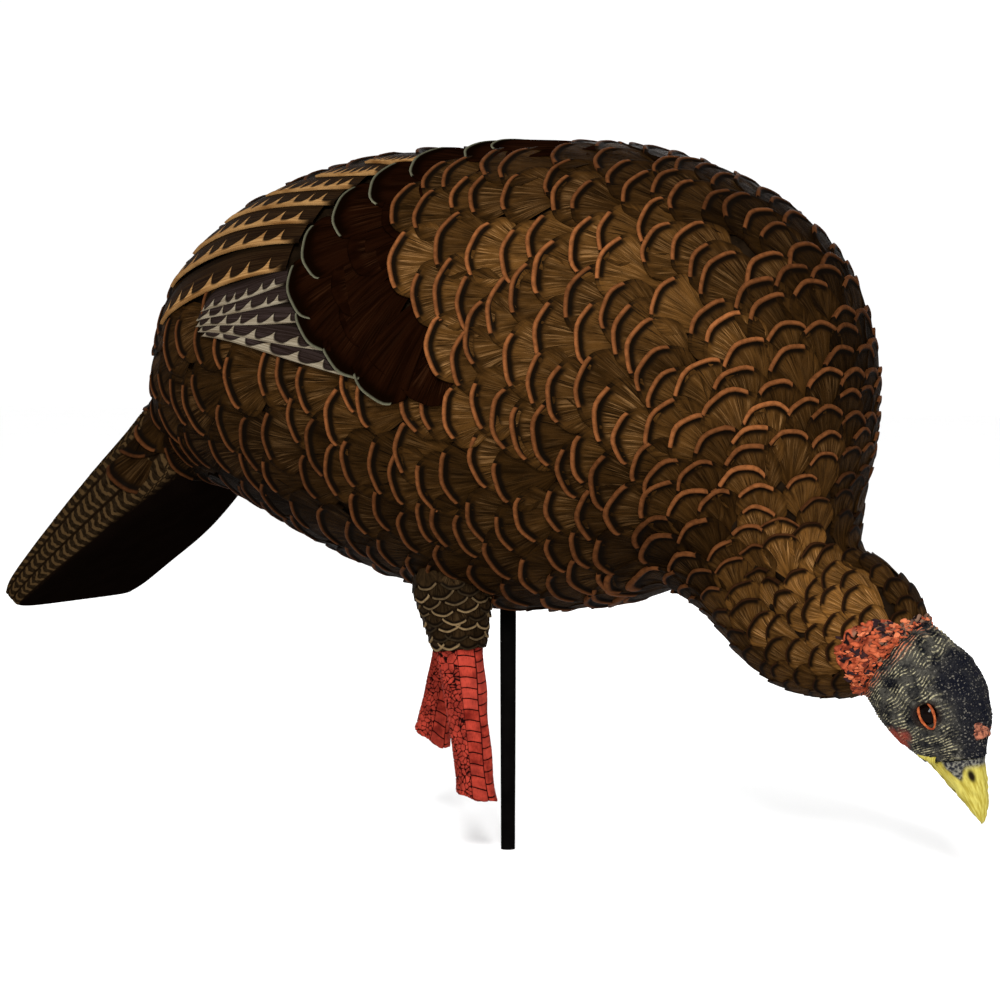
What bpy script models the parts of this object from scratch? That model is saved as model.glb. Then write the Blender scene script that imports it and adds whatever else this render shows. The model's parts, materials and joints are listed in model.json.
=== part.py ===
"""Feeding hen turkey decoy on a stake: hollow body, pull-off turning head and pull-off tail.

Metres, +Z up, the bird faces +X and its right side is -Y. The origin is on the stake's axis at the
ground line.
"""

from math import atan2, cos, degrees, pi, radians, sin

import bmesh
import bpy
import numpy as np
from mathutils import Matrix, Vector

GAP = 0.0003
WALL = 0.003

# Body sections from the rump to the neck's end: back point (x, z), belly point (x, z), half width,
# depth of the groove along each side of the neck.
BODY = (
    ((-0.268, 0.318), (-0.222, 0.247), 0.055, 0.0),
    ((-0.262, 0.353), (-0.188, 0.236), 0.073, 0.0),
    ((-0.236, 0.406), (-0.139, 0.213), 0.097, 0.0),
    ((-0.172, 0.450), (-0.086, 0.191), 0.114, 0.0),
    ((-0.084, 0.471), (-0.029, 0.174), 0.122, 0.0),
    ((0.009, 0.473), (0.024, 0.169), 0.124, 0.0),
    ((0.083, 0.472), (0.069, 0.173), 0.120, 0.0),
    ((0.142, 0.459), (0.102, 0.180), 0.113, 0.0),
    ((0.196, 0.432), (0.122, 0.186), 0.103, 0.0),
    ((0.236, 0.392), (0.131, 0.184), 0.091, 0.05),
    ((0.254, 0.341), (0.139, 0.180), 0.079, 0.12),
    ((0.255, 0.289), (0.149, 0.173), 0.067, 0.20),
    ((0.248, 0.247), (0.164, 0.158), 0.056, 0.26),
    ((0.248, 0.216), (0.181, 0.139), 0.047, 0.26),
    ((0.268, 0.204), (0.206, 0.124), 0.042, 0.18),
    ((0.286, 0.188), (0.236, 0.120), 0.037, 0.08),
    ((0.295, 0.169), (0.260, 0.124), 0.031, 0.0),
)
RINGS_PER_SECTION = 2
NECK_SEAM = 9
AROUND = 28
GROOVE_AT = radians(97)
GROOVE_WIDTH = 0.30

# Tail sections: centre (x, z), degrees below the horizontal, half width, half thickness, squareness.
TAIL = (
    (-0.2645, 0.2600, 38, 0.061, 0.0350, 3.0),
    (-0.2870, 0.2370, 42, 0.069, 0.0285, 4.0),
    (-0.3120, 0.2130, 44, 0.074, 0.0215, 6.0),
    (-0.3370, 0.1910, 46, 0.075, 0.0165, 7.0),
    (-0.3590, 0.1710, 48, 0.0745, 0.0125, 7.0),
    (-0.3685, 0.1620, 48, 0.0710, 0.0100, 6.0),
)
TAIL_AROUND = 28
TONGUE = (0.0025, 0.024, 0.050)

# Head sections: crown point (x, z), throat point (x, z), half width.
HEAD = (
    ((0.2955, 0.1685), (0.2605, 0.1235), 0.0300),
    ((0.3105, 0.1595), (0.2650, 0.1140), 0.0290),
    ((0.3260, 0.1450), (0.2715, 0.1035), 0.0270),
    ((0.3365, 0.1235), (0.2800, 0.0945), 0.0235),
    ((0.3375, 0.1030), (0.2895, 0.0870), 0.0190),
    ((0.3360, 0.0880), (0.2975, 0.0825), 0.0160),
)
# Beak sections beyond the head, in the same form.
BEAK = (
    ((0.3350, 0.0870), (0.2990, 0.0818), 0.0140),
    ((0.3370, 0.0730), (0.3095, 0.0712), 0.0115),
    ((0.3380, 0.0600), (0.3205, 0.0593), 0.0085),
    ((0.3370, 0.0500), (0.3290, 0.0496), 0.0048),
)
BEAK_TIP = (0.3340, 0.0445)
GAPE = ((0.2975, 0.0880), (0.3345, 0.0440))

STAKE_TOP_R = 0.0055
STAKE_FOOT_R = 0.0048
STAKE_TOP = 0.360
SPIGOT_R = 0.0032
SPIGOT_LENGTH = 0.045
SPIKE_LENGTH = 0.120
PIN_Z = 0.338
PIN_R = 0.0015
PIN_LENGTH = 0.0138
CAP_R = 0.0098
CAP_TOP = 0.3655
LUG_R = 0.0125
HOUSING_BORE = 0.0130
HOUSING_R = 0.0165
HOUSING_BOTTOM = 0.322
WASHER_THICKNESS = 0.0012
SLEEVE_BORE = 0.0078
SLEEVE_R = 0.0130
BELLY_Z = 0.1680
SWIVEL_LIMIT = 60

# Wing outline: along the wing from its front (0) to its tip (1): section, top and bottom degrees
# from the back.
WING = (
    (0.00, 6.0, 42, 60),
    (0.12, 5.5, 26, 80),
    (0.30, 4.7, 17, 95),
    (0.50, 3.8, 16, 98),
    (0.70, 2.9, 20, 92),
    (0.88, 2.0, 32, 82),
    (1.00, 1.4, 50, 70),
)
WING_ALONG, WING_ACROSS = 18, 10
WING_SUNK, WING_EDGE, WING_CROWN = 0.0025, 0.0010, 0.0042
WING_SCREWS = (("front", 4.6, 55), ("rear", 3.0, 58))

# Legs: name, side, hip (x, z), ankle (x, z), hip and ankle radius, thigh radius, distance from the
# mid plane, length of the spigot through the thigh and the belly.
LEGS = (
    ("right", 1, (-0.0120, 0.1410), (0.0000, 0.0440), 0.0148, 0.0120, 0.0245, 0.046, 0.062),
    ("left", -1, (-0.0660, 0.1500), (-0.0850, 0.0660), 0.0118, 0.0108, 0.0190, 0.046, 0.066),
)
LEG_SPIGOT_R = 0.0060

PLUG_R = 0.0107
PIVOT_R = 0.0077
ORING_Z = -0.009
EYE_AT = (0.3050, 0.0190, 0.1140)
EYE_R = 0.0075
SNOOD_AT = (0.3330, 0.1060)

parts = bpy.data.collections.new("turkey_decoy")
helpers = bpy.data.collections.new("cutters")


def clear_scene():
    for obj in list(bpy.data.objects):
        bpy.data.objects.remove(obj, do_unlink=True)
    bpy.context.scene.collection.children.link(parts)
    bpy.context.scene.collection.children.link(helpers)


def material(name, colour, roughness, metallic=0.0):
    mat = bpy.data.materials.new(name)
    mat.use_nodes = True
    shader = mat.node_tree.nodes["Principled BSDF"]
    shader.inputs["Base Color"].default_value = (*colour, 1.0)
    shader.inputs["Roughness"].default_value = roughness
    shader.inputs["Metallic"].default_value = metallic
    return mat


def add_object(name, mesh, mat=None):
    """A node when it has a material, a cutter when it has none."""
    obj = bpy.data.objects.new(name, mesh)
    if mat is None:
        helpers.objects.link(obj)
        obj.hide_render = True
        obj.display_type = "WIRE"
    else:
        parts.objects.link(obj)
        mesh.materials.append(mat)
    return obj


def smooth(mesh):
    for face in mesh.polygons:
        face.use_smooth = True


def along(axis, origin=(0.0, 0.0, 0.0)):
    """The placement that turns local +Z onto axis, at origin."""
    turn = Vector((0.0, 0.0, 1.0)).rotation_difference(Vector(axis)).to_matrix().to_4x4()
    return Matrix.Translation(Vector(origin)) @ turn


def turned(name, profile, mat=None, axis=(0.0, 0.0, 1.0), origin=(0.0, 0.0, 0.0), steps=24):
    """A solid of revolution from a closed profile of (radius, height) points, listed from the bottom up."""
    mesh = bpy.data.meshes.new(name)
    points = [(r, 0.0, z) for r, z in profile]
    edges = [(i, (i + 1) % len(points)) for i in range(len(points))]
    if profile[0][0] == 0.0 and profile[-1][0] == 0.0:
        edges.pop()
    mesh.from_pydata(points, edges, [])
    obj = add_object(name, mesh, mat)
    screw = obj.modifiers.new("turn", "SCREW")
    screw.steps = screw.render_steps = steps
    screw.use_merge_vertices = True
    screw.merge_threshold = 1e-5
    screw.use_normal_calculate = True
    screw.use_smooth_shade = True
    # The modifier picks a side by the profile's first edge, so turn it round where that faces in.
    bpy.context.view_layer.update()
    bm = bmesh.new()
    bm.from_object(obj, bpy.context.evaluated_depsgraph_get())
    screw.use_normal_flip = bm.calc_volume(signed=True) < 0
    bm.free()
    obj.matrix_world = along(axis, origin)
    return obj


def block(name, low, high, mat=None, place=None, bevel=0.0):
    """A box between two corners, in the frame of place."""
    mesh = bpy.data.meshes.new(name)
    bm = bmesh.new()
    bmesh.ops.create_cube(bm, size=1.0)
    low, high = Vector(low), Vector(high)
    for vert in bm.verts:
        vert.co = Vector(c * s + m for c, s, m in zip(vert.co, high - low, (high + low) / 2))
    bm.to_mesh(mesh)
    bm.free()
    obj = add_object(name, mesh, mat)
    if place is not None:
        obj.matrix_world = place
    if bevel:
        mod = obj.modifiers.new("edges", "BEVEL")
        mod.width = bevel
        mod.segments = 1
    return obj


def boolean(obj, cutter, operation="DIFFERENCE"):
    mod = obj.modifiers.new(cutter.name, "BOOLEAN")
    mod.operation = operation
    mod.solver = "EXACT"
    mod.object = cutter


def skin(name, rings, mat=None, start=None, end=None):
    """A closed loft through rings of equal length. An end is a cap point, or None for an open end."""
    count = len(rings[0])
    points = [tuple(p) for ring in rings for p in ring]
    faces = []
    for i in range(len(rings) - 1):
        for j in range(count):
            k = (j + 1) % count
            faces.append((i * count + j, i * count + k, (i + 1) * count + k, (i + 1) * count + j))
    for cap, first in ((start, 0), (end, (len(rings) - 1) * count)):
        if cap is None:
            continue
        points.append(tuple(cap))
        for j in range(count):
            k = (j + 1) % count
            faces.append((first + j, first + k, len(points) - 1))
    mesh = bpy.data.meshes.new(name)
    mesh.from_pydata(points, [], faces)
    bm = bmesh.new()
    bm.from_mesh(mesh)
    bmesh.ops.recalc_face_normals(bm, faces=bm.faces)
    if bm.calc_volume(signed=True) < 0:
        bmesh.ops.reverse_faces(bm, faces=bm.faces)
    bm.to_mesh(mesh)
    bm.free()
    smooth(mesh)
    return add_object(name, mesh, mat)


def spline(values, s):
    """Catmull-Rom through evenly spaced rows of values."""
    values = np.asarray(values, float)
    i = min(max(int(s), 0), len(values) - 2)
    t = s - i
    a = values[max(i - 1, 0)]
    b, c = values[i], values[i + 1]
    d = values[min(i + 2, len(values) - 1)]
    return 0.5 * (
        2 * b + (c - a) * t + (2 * a - 5 * b + 4 * c - d) * t * t + (3 * b - a - 3 * c + d) * t**3
    )


BODY_ROWS = [(*back, *belly, width, groove) for back, belly, width, groove in BODY]
HEAD_ROWS = [(*crown, *throat, width) for crown, throat, width in HEAD]
BEAK_ROWS = [(*top, *bottom, width) for top, bottom, width in BEAK]


def oval(back, belly, width, angle):
    """A point on the section from back over the right side to belly, at angle from the back."""
    back, belly = Vector((back[0], 0.0, back[1])), Vector((belly[0], 0.0, belly[1]))
    point = (back + belly) / 2 + (back - belly) / 2 * cos(angle)
    point.y = -width * sin(angle)
    return point


def body_point(s, angle):
    bx, bz, vx, vz, width, groove = spline(BODY_ROWS, s)
    off = (abs((angle + pi) % (2 * pi) - pi) - GROOVE_AT) / GROOVE_WIDTH
    return oval((bx, bz), (vx, vz), width * (1 - groove * np.exp(-off * off)), angle)


def body_normal(s, angle):
    ds = body_point(s + 0.05, angle) - body_point(s - 0.05, angle)
    da = body_point(s, angle + 0.05) - body_point(s, angle - 0.05)
    normal = da.cross(ds).normalized()
    centre = (body_point(s, 0.0) + body_point(s, pi)) / 2
    return normal if normal.dot(body_point(s, angle) - centre) > 0 else -normal


def body_rings(offset):
    """Body sections pushed out by offset, along the normals of the smooth surface."""
    count = (len(BODY) - 1) * RINGS_PER_SECTION + 1
    rings = []
    for i in range(count):
        s = i / RINGS_PER_SECTION
        inside = min(max(s, 0.05), len(BODY) - 1.05)
        rings.append(
            [
                body_point(s, 2 * pi * j / AROUND) + body_normal(inside, 2 * pi * j / AROUND) * offset
                for j in range(AROUND)
            ]
        )
    return rings


def frame_of(first, second):
    """Centre, axis towards the neck, and upward direction of a section given by its two points."""
    back, belly = Vector((first[0], 0.0, first[1])), Vector((second[0], 0.0, second[1]))
    up = (back - belly).normalized()
    return (back + belly) / 2, Vector((0.0, 1.0, 0.0)).cross(up), up


RUMP_CENTRE, RUMP_AXIS, RUMP_UP = frame_of(BODY[0][0], BODY[0][1])
TAIL_AXIS = -RUMP_AXIS
NECK_CENTRE, NECK_AXIS, NECK_UP = frame_of(BODY[-1][0], BODY[-1][1])


def tail_place():
    """Local +Z along the tail, +X up from it, +Y across the bird."""
    y = TAIL_AXIS.cross(RUMP_UP)
    turn = Matrix((RUMP_UP, y, TAIL_AXIS)).transposed().to_4x4()
    return Matrix.Translation(RUMP_CENTRE) @ turn


def envelope(name, offset):
    """A closed cutter over the whole body at an offset from its skin."""
    rings = body_rings(offset)
    start = sum((Vector(p) for p in rings[0]), Vector()) / AROUND
    end = sum((Vector(p) for p in rings[-1]), Vector()) / AROUND
    return skin(name, rings, None, start, end)


def open_shell(name, rings, mat, start=None):
    """One moulding of the body: a loft with its wall inside the skin, open at its far end."""
    shell = skin(name, rings, mat, start=start)
    bm = bmesh.new()
    bm.from_mesh(shell.data)
    bm.faces.ensure_lookup_table()
    # An open loft's volume says nothing about its sides, so its first face is compared with the axis.
    face = bm.faces[0]
    centre = (sum(rings[0], Vector()) + sum(rings[1], Vector())) / (2 * AROUND)
    if face.normal.dot(face.calc_center_median() - centre) < 0:
        bmesh.ops.reverse_faces(bm, faces=bm.faces)
    bm.to_mesh(shell.data)
    bm.free()
    wall = shell.modifiers.new("wall", "SOLIDIFY")
    wall.thickness = WALL
    wall.offset = -1.0
    return shell


def make_body(mat):
    """The torso and the neck, moulded apart and bonded at the front of the breast."""
    rings = body_rings(0.0)
    seam = NECK_SEAM * RINGS_PER_SECTION
    centre, axis, _ = frame_of(*BODY[NECK_SEAM][:2])
    place = along(axis, centre)
    neck = open_shell("neck_shell", rings[seam - 1 :], mat)
    boolean(neck, block("neck_seam", (-0.2, -0.2, -0.1), (0.2, 0.2, GAP / 2), place=place))
    body = open_shell("body_shell", rings[: seam + 2], mat, RUMP_CENTRE)
    boolean(body, block("body_seam", (-0.2, -0.2, -GAP / 2), (0.2, 0.2, 0.1), place=place))
    return body


def wing_point(a, b, offset, side):
    """side is 1 for the right wing and -1 for the left."""
    along_wing = [row[0] for row in WING]
    s, top, bottom = (np.interp(a, along_wing, [row[k] for row in WING]) for k in (1, 2, 3))
    angle = radians(top + (bottom - top) * b)
    point = body_point(s, angle) + body_normal(s, angle) * offset
    point.y *= side
    return point


def wing_height(a, b):
    rise = min(1.0, 4 * min(a, 1 - a) * 1.5) * (1 - (2 * b - 1) ** 4)
    return WING_EDGE + (WING_CROWN - WING_EDGE) * rise


def make_wing(name, side, mat, cut):
    points, faces = [], []
    for layer in (0, 1):
        for i in range(WING_ALONG + 1):
            for j in range(WING_ACROSS + 1):
                a, b = i / WING_ALONG, j / WING_ACROSS
                offset = wing_height(a, b) if layer else -WING_SUNK
                points.append(tuple(wing_point(a, b, offset, side)))
    across = WING_ACROSS + 1
    under = len(points) // 2
    for i in range(WING_ALONG):
        for j in range(WING_ACROSS):
            quad = [i * across + j, i * across + j + 1, (i + 1) * across + j + 1, (i + 1) * across + j]
            faces.append(quad)
            faces.append([under + k for k in reversed(quad)])
    edge = [i * across for i in range(WING_ALONG + 1)]
    edge += [WING_ALONG * across + j for j in range(1, across)]
    edge += [i * across + WING_ACROSS for i in range(WING_ALONG - 1, -1, -1)]
    edge += [j for j in range(WING_ACROSS - 1, 0, -1)]
    for first, second in zip(edge, edge[1:] + edge[:1]):
        faces.append([first, second, under + second, under + first])
    mesh = bpy.data.meshes.new(name)
    mesh.from_pydata(points, [], faces)
    bm = bmesh.new()
    bm.from_mesh(mesh)
    bmesh.ops.recalc_face_normals(bm, faces=bm.faces)
    if bm.calc_volume(signed=True) < 0:
        bmesh.ops.reverse_faces(bm, faces=bm.faces)
    bm.to_mesh(mesh)
    bm.free()
    smooth(mesh)
    wing = add_object(name, mesh, mat)
    boolean(wing, cut)
    return wing


def make_wing_screws(side_name, side, body, wing, mat):
    for name, s, angle in WING_SCREWS:
        point, normal = body_point(s, radians(angle)), body_normal(s, radians(angle))
        point.y, normal.y = point.y * side, normal.y * side
        profile = (
            (0.0, -0.0068),
            (0.0035, -0.0068),
            (0.0035, -0.0048),
            (0.0015, -0.0048),
            (0.0015, 0.0020),
            (0.0, 0.0020),
        )
        turned(f"wing_screw_{side_name}_{name}", profile, mat, normal, point, 16)
        hole = ((0.0, -0.0070), (0.0018, -0.0070), (0.0018, 0.0023), (0.0, 0.0023))
        cutter = turned(f"cut_wing_screw_{side_name}_{name}", hole, None, normal, point, 16)
        boolean(body, cutter)
        boolean(wing, cutter)


def make_leg(side_name, side, hip, ankle, hip_r, ankle_r, thigh_r, out, rise, body, envelopes, mats):
    outer, inner = envelopes
    y = -side * out
    hip, ankle = Vector((hip[0], y, hip[1])), Vector((ankle[0], y, ankle[1]))
    axis = (hip - ankle).normalized()
    length = (hip - ankle).length
    # The shank ends in a slanting cut, as cast.
    profile = (
        (0.0, -0.006),
        (ankle_r, -0.006),
        (ankle_r * 0.97, length * 0.35),
        (hip_r * 0.98, length * 0.9),
        (hip_r, length),
        (LEG_SPIGOT_R, length),
        (LEG_SPIGOT_R, length + rise),
        (0.0, length + rise),
    )
    leg = turned(f"leg_{side_name}", profile, mats["leg"], axis, ankle, 20)
    slant = Matrix.Translation(ankle) @ Matrix.Rotation(radians(20), 4, "Y")
    cutter = block(f"cut_ankle_{side_name}", (-0.03, -0.03, -0.03), (0.03, 0.03, 0.0), None, slant)
    boolean(leg, cutter)
    thigh = turned(
        f"thigh_{side_name}",
        (
            (LEG_SPIGOT_R + GAP, GAP),
            (hip_r * 0.96, GAP),
            (hip_r * 1.08, 0.004),
            (thigh_r, 0.040),
            (thigh_r, 0.050),
            (LEG_SPIGOT_R + GAP, 0.050),
        ),
        mats["thigh"],
        axis,
        hip,
        24,
    )
    boolean(thigh, outer)
    hole_r = LEG_SPIGOT_R + GAP
    hole_profile = ((0.0, 0.01), (hole_r, 0.01), (hole_r, rise), (0.0, rise))
    hole = turned(f"cut_hip_{side_name}", hole_profile, None, axis, hip, 20)
    boolean(body, hole)
    washer = turned(
        f"leg_washer_{side_name}",
        ((hole_r, 0.025), (0.0115, 0.025), (0.0115, rise - 0.006), (hole_r, rise - 0.006)),
        mats["black"],
        axis,
        hip,
        20,
    )
    boolean(washer, inner, "INTERSECT")


def make_stake(body, inner, mats):
    turned(
        "ground_spike",
        (
            (0.0, -SPIKE_LENGTH),
            (0.0008, -SPIKE_LENGTH),
            (STAKE_FOOT_R, -SPIKE_LENGTH + 0.03),
            (STAKE_FOOT_R, -GAP),
            (SPIGOT_R, -GAP),
            (SPIGOT_R, SPIGOT_LENGTH - 0.002),
            (SPIGOT_R - 0.001, SPIGOT_LENGTH),
            (0.0, SPIGOT_LENGTH),
        ),
        mats["steel"],
    )
    rod = turned(
        "stake_rod",
        (
            (0.0, SPIGOT_LENGTH + 0.001),
            (SPIGOT_R + GAP, SPIGOT_LENGTH + 0.001),
            (SPIGOT_R + GAP, 0.0),
            (STAKE_FOOT_R, 0.0),
            (STAKE_TOP_R, 0.150),
            (STAKE_TOP_R, STAKE_TOP - 0.004),
            (0.0025, STAKE_TOP),
            (0.0, STAKE_TOP),
        ),
        mats["stake"],
    )
    pin_profile = (
        (0.0, -PIN_LENGTH / 2),
        (PIN_R, -PIN_LENGTH / 2),
        (PIN_R, PIN_LENGTH / 2),
        (0.0, PIN_LENGTH / 2),
    )
    turned("stake_pin", pin_profile, mats["steel"], (0, 1, 0), (0, 0, PIN_Z), 12)
    bore = PIN_R + GAP
    drill_profile = ((0.0, -0.02), (bore, -0.02), (bore, 0.02), (0.0, 0.02))
    drill = turned("cut_pin", drill_profile, None, (0, 1, 0), (0, 0, PIN_Z), 12)
    boolean(rod, drill)

    cap = turned(
        "swivel_cap",
        (
            (0.0, STAKE_TOP + GAP),
            (0.0028, STAKE_TOP + GAP),
            (STAKE_TOP_R + GAP, STAKE_TOP - 0.004 + GAP),
            (STAKE_TOP_R + GAP, HOUSING_BOTTOM + 0.004),
            (CAP_R, HOUSING_BOTTOM + 0.004),
            (CAP_R, CAP_TOP),
            (0.0, CAP_TOP),
        ),
        mats["bearing"],
        steps=32,
    )
    lug = sector("lug", CAP_R - 0.002, LUG_R, HOUSING_BOTTOM + 0.008, HOUSING_BOTTOM + 0.020, 0, 15)
    boolean(cap, lug, "UNION")
    slot = block(
        "cut_pin_slot",
        (-PIN_R - GAP, -0.0125, HOUSING_BOTTOM - 0.01),
        (PIN_R + GAP, 0.0125, PIN_Z + PIN_R + GAP),
    )
    boolean(cap, slot)
    turned(
        "thrust_washer",
        (
            (0.0040, CAP_TOP + GAP),
            (CAP_R, CAP_TOP + GAP),
            (CAP_R, CAP_TOP + GAP + WASHER_THICKNESS),
            (0.0040, CAP_TOP + GAP + WASHER_THICKNESS),
        ),
        mats["washer"],
        steps=32,
    )
    ceiling = CAP_TOP + 2 * GAP + WASHER_THICKNESS
    housing = turned(
        "swivel_housing",
        (
            (0.0, ceiling),
            (CAP_R + GAP, ceiling),
            (CAP_R + GAP, HOUSING_BOTTOM),
            (HOUSING_R, HOUSING_BOTTOM),
            (HOUSING_R, ceiling + 0.004),
            (0.0, ceiling + 0.004),
        ),
        mats["black"],
        steps=48,
    )
    low, high = HOUSING_BOTTOM - 0.01, HOUSING_BOTTOM + 0.0212
    race = sector("cut_race", CAP_R - 0.002, HOUSING_BORE, low, high, 0, SWIVEL_LIMIT + 15)
    boolean(housing, race)
    foot = BELLY_Z + WALL
    sleeve = turned(
        "stake_sleeve",
        (
            (0.0103, foot),
            (0.0170, foot),
            (0.0170, foot + 0.0050),
            (SLEEVE_R, foot + 0.0070),
            (SLEEVE_R, HOUSING_BOTTOM - GAP),
            (SLEEVE_BORE, HOUSING_BOTTOM - GAP),
            (SLEEVE_BORE, foot + 0.0203),
            (0.0103, foot + 0.0203),
        ),
        mats["black"],
        steps=32,
    )
    boolean(sleeve, inner, "INTERSECT")
    turned(
        "belly_bushing",
        (
            (0.0078, BELLY_Z - 0.0022),
            (0.0130, BELLY_Z - 0.0022),
            (0.0130, BELLY_Z - 0.0006),
            (0.0100, BELLY_Z - 0.0006),
            (0.0100, foot + 0.0200),
            (0.0078, foot + 0.0200),
        ),
        mats["stake"],
        steps=32,
    )
    hole = turned(
        "cut_belly", ((0.0, 0.15), (0.0103, 0.15), (0.0103, 0.19), (0.0, 0.19)), None, steps=32
    )
    boolean(body, hole)


def sector(name, inner, outer, low, high, middle, half):
    """A closed ring sector about the stake's axis, from middle - half to middle + half degrees."""
    steps = max(3, int(half / 5))
    rings = []
    for i in range(2 * steps + 1):
        angle = radians(middle - half + half * i / steps)
        c, s = cos(angle), sin(angle)
        corners = ((inner, low), (outer, low), (outer, high), (inner, high))
        rings.append([(r * c, r * s, z) for r, z in corners])
    middles = [tuple(sum(p[k] for p in ring) / 4 for k in range(3)) for ring in (rings[0], rings[-1])]
    return skin(name, rings, None, middles[0], middles[1])


def tail_ring(cx, cz, slope, width, thick, square):
    """A flat-bottomed oval section square to the tail, from its top over the right side."""
    down = radians(slope)
    up = Vector((-sin(down), 0.0, cos(down)))
    ring = []
    for j in range(TAIL_AROUND):
        angle = 2 * pi * j / TAIL_AROUND
        c, s = cos(angle), sin(angle)
        c = np.sign(c) * abs(c) ** (2 / square)
        s = np.sign(s) * abs(s) ** (2 / square)
        point = Vector((cx, 0.0, cz)) + up * (thick * c)
        point.y = -width * s
        ring.append(point)
    return ring


def tail_rows():
    """The tail's sections with the rump's own outline first, a gap away from it."""
    centre = RUMP_CENTRE + TAIL_AXIS * GAP
    back, belly, width, _ = BODY[0]
    thick = (Vector(back) - Vector(belly)).length / 2
    slope = degrees(atan2(-TAIL_AXIS.z, -TAIL_AXIS.x))
    return [(centre.x, centre.z, slope, width, thick, 2.0), *TAIL]


def tail_inside(wall):
    """Sections of the hollow in the tail, up to one wall short of its tip."""
    rows = [
        (x, z, slope, width - wall, thick - wall, square)
        for x, z, slope, width, thick, square in tail_rows()
    ]
    x, z, slope, *rest = rows[-1]
    rows[-1] = (x + wall * cos(radians(slope)), z + wall * sin(radians(slope)), slope, *rest)
    return [tail_ring(*row) for row in rows]


def make_tail(body, mats):
    place = tail_place()
    outside = [tail_ring(*row) for row in tail_rows()]
    inside = tail_inside(WALL)[::-1]
    start = sum(inside[0], Vector()) / TAIL_AROUND
    skin("tail_fan", inside + outside, mats["tail"], start, sum(outside[-1], Vector()) / TAIL_AROUND)

    clear = tail_inside(WALL + 0.0010)
    clear.insert(0, [point - TAIL_AXIS * 0.01 for point in clear[0]])
    ends = [sum(ring, Vector()) / TAIL_AROUND for ring in (clear[0], clear[-1])]
    hollow = skin("cut_tail_hollow", clear, None, *ends)
    plug = block("tail_plug", (-0.05, -0.06, 0.001), (0.05, 0.06, 0.013), mats["black"], place)
    boolean(plug, hollow, "INTERSECT")
    thick, wide, reach = TONGUE
    tongue = block("join_tongue", (-thick, -wide, -reach), (thick, wide, 0.006), None, place)
    boolean(plug, tongue, "UNION")
    thick, wide = thick + GAP, wide + GAP
    slot = block("cut_tongue", (-thick, -wide, -0.06), (thick, wide, 0.01), None, place)
    boolean(body, slot)
    low, high = (-0.0075, -0.030, -reach + 0.004), (0.0075, 0.030, -WALL - GAP)
    socket = block("tail_socket", low, high, mats["black"], place)
    boolean(socket, slot)


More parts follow.
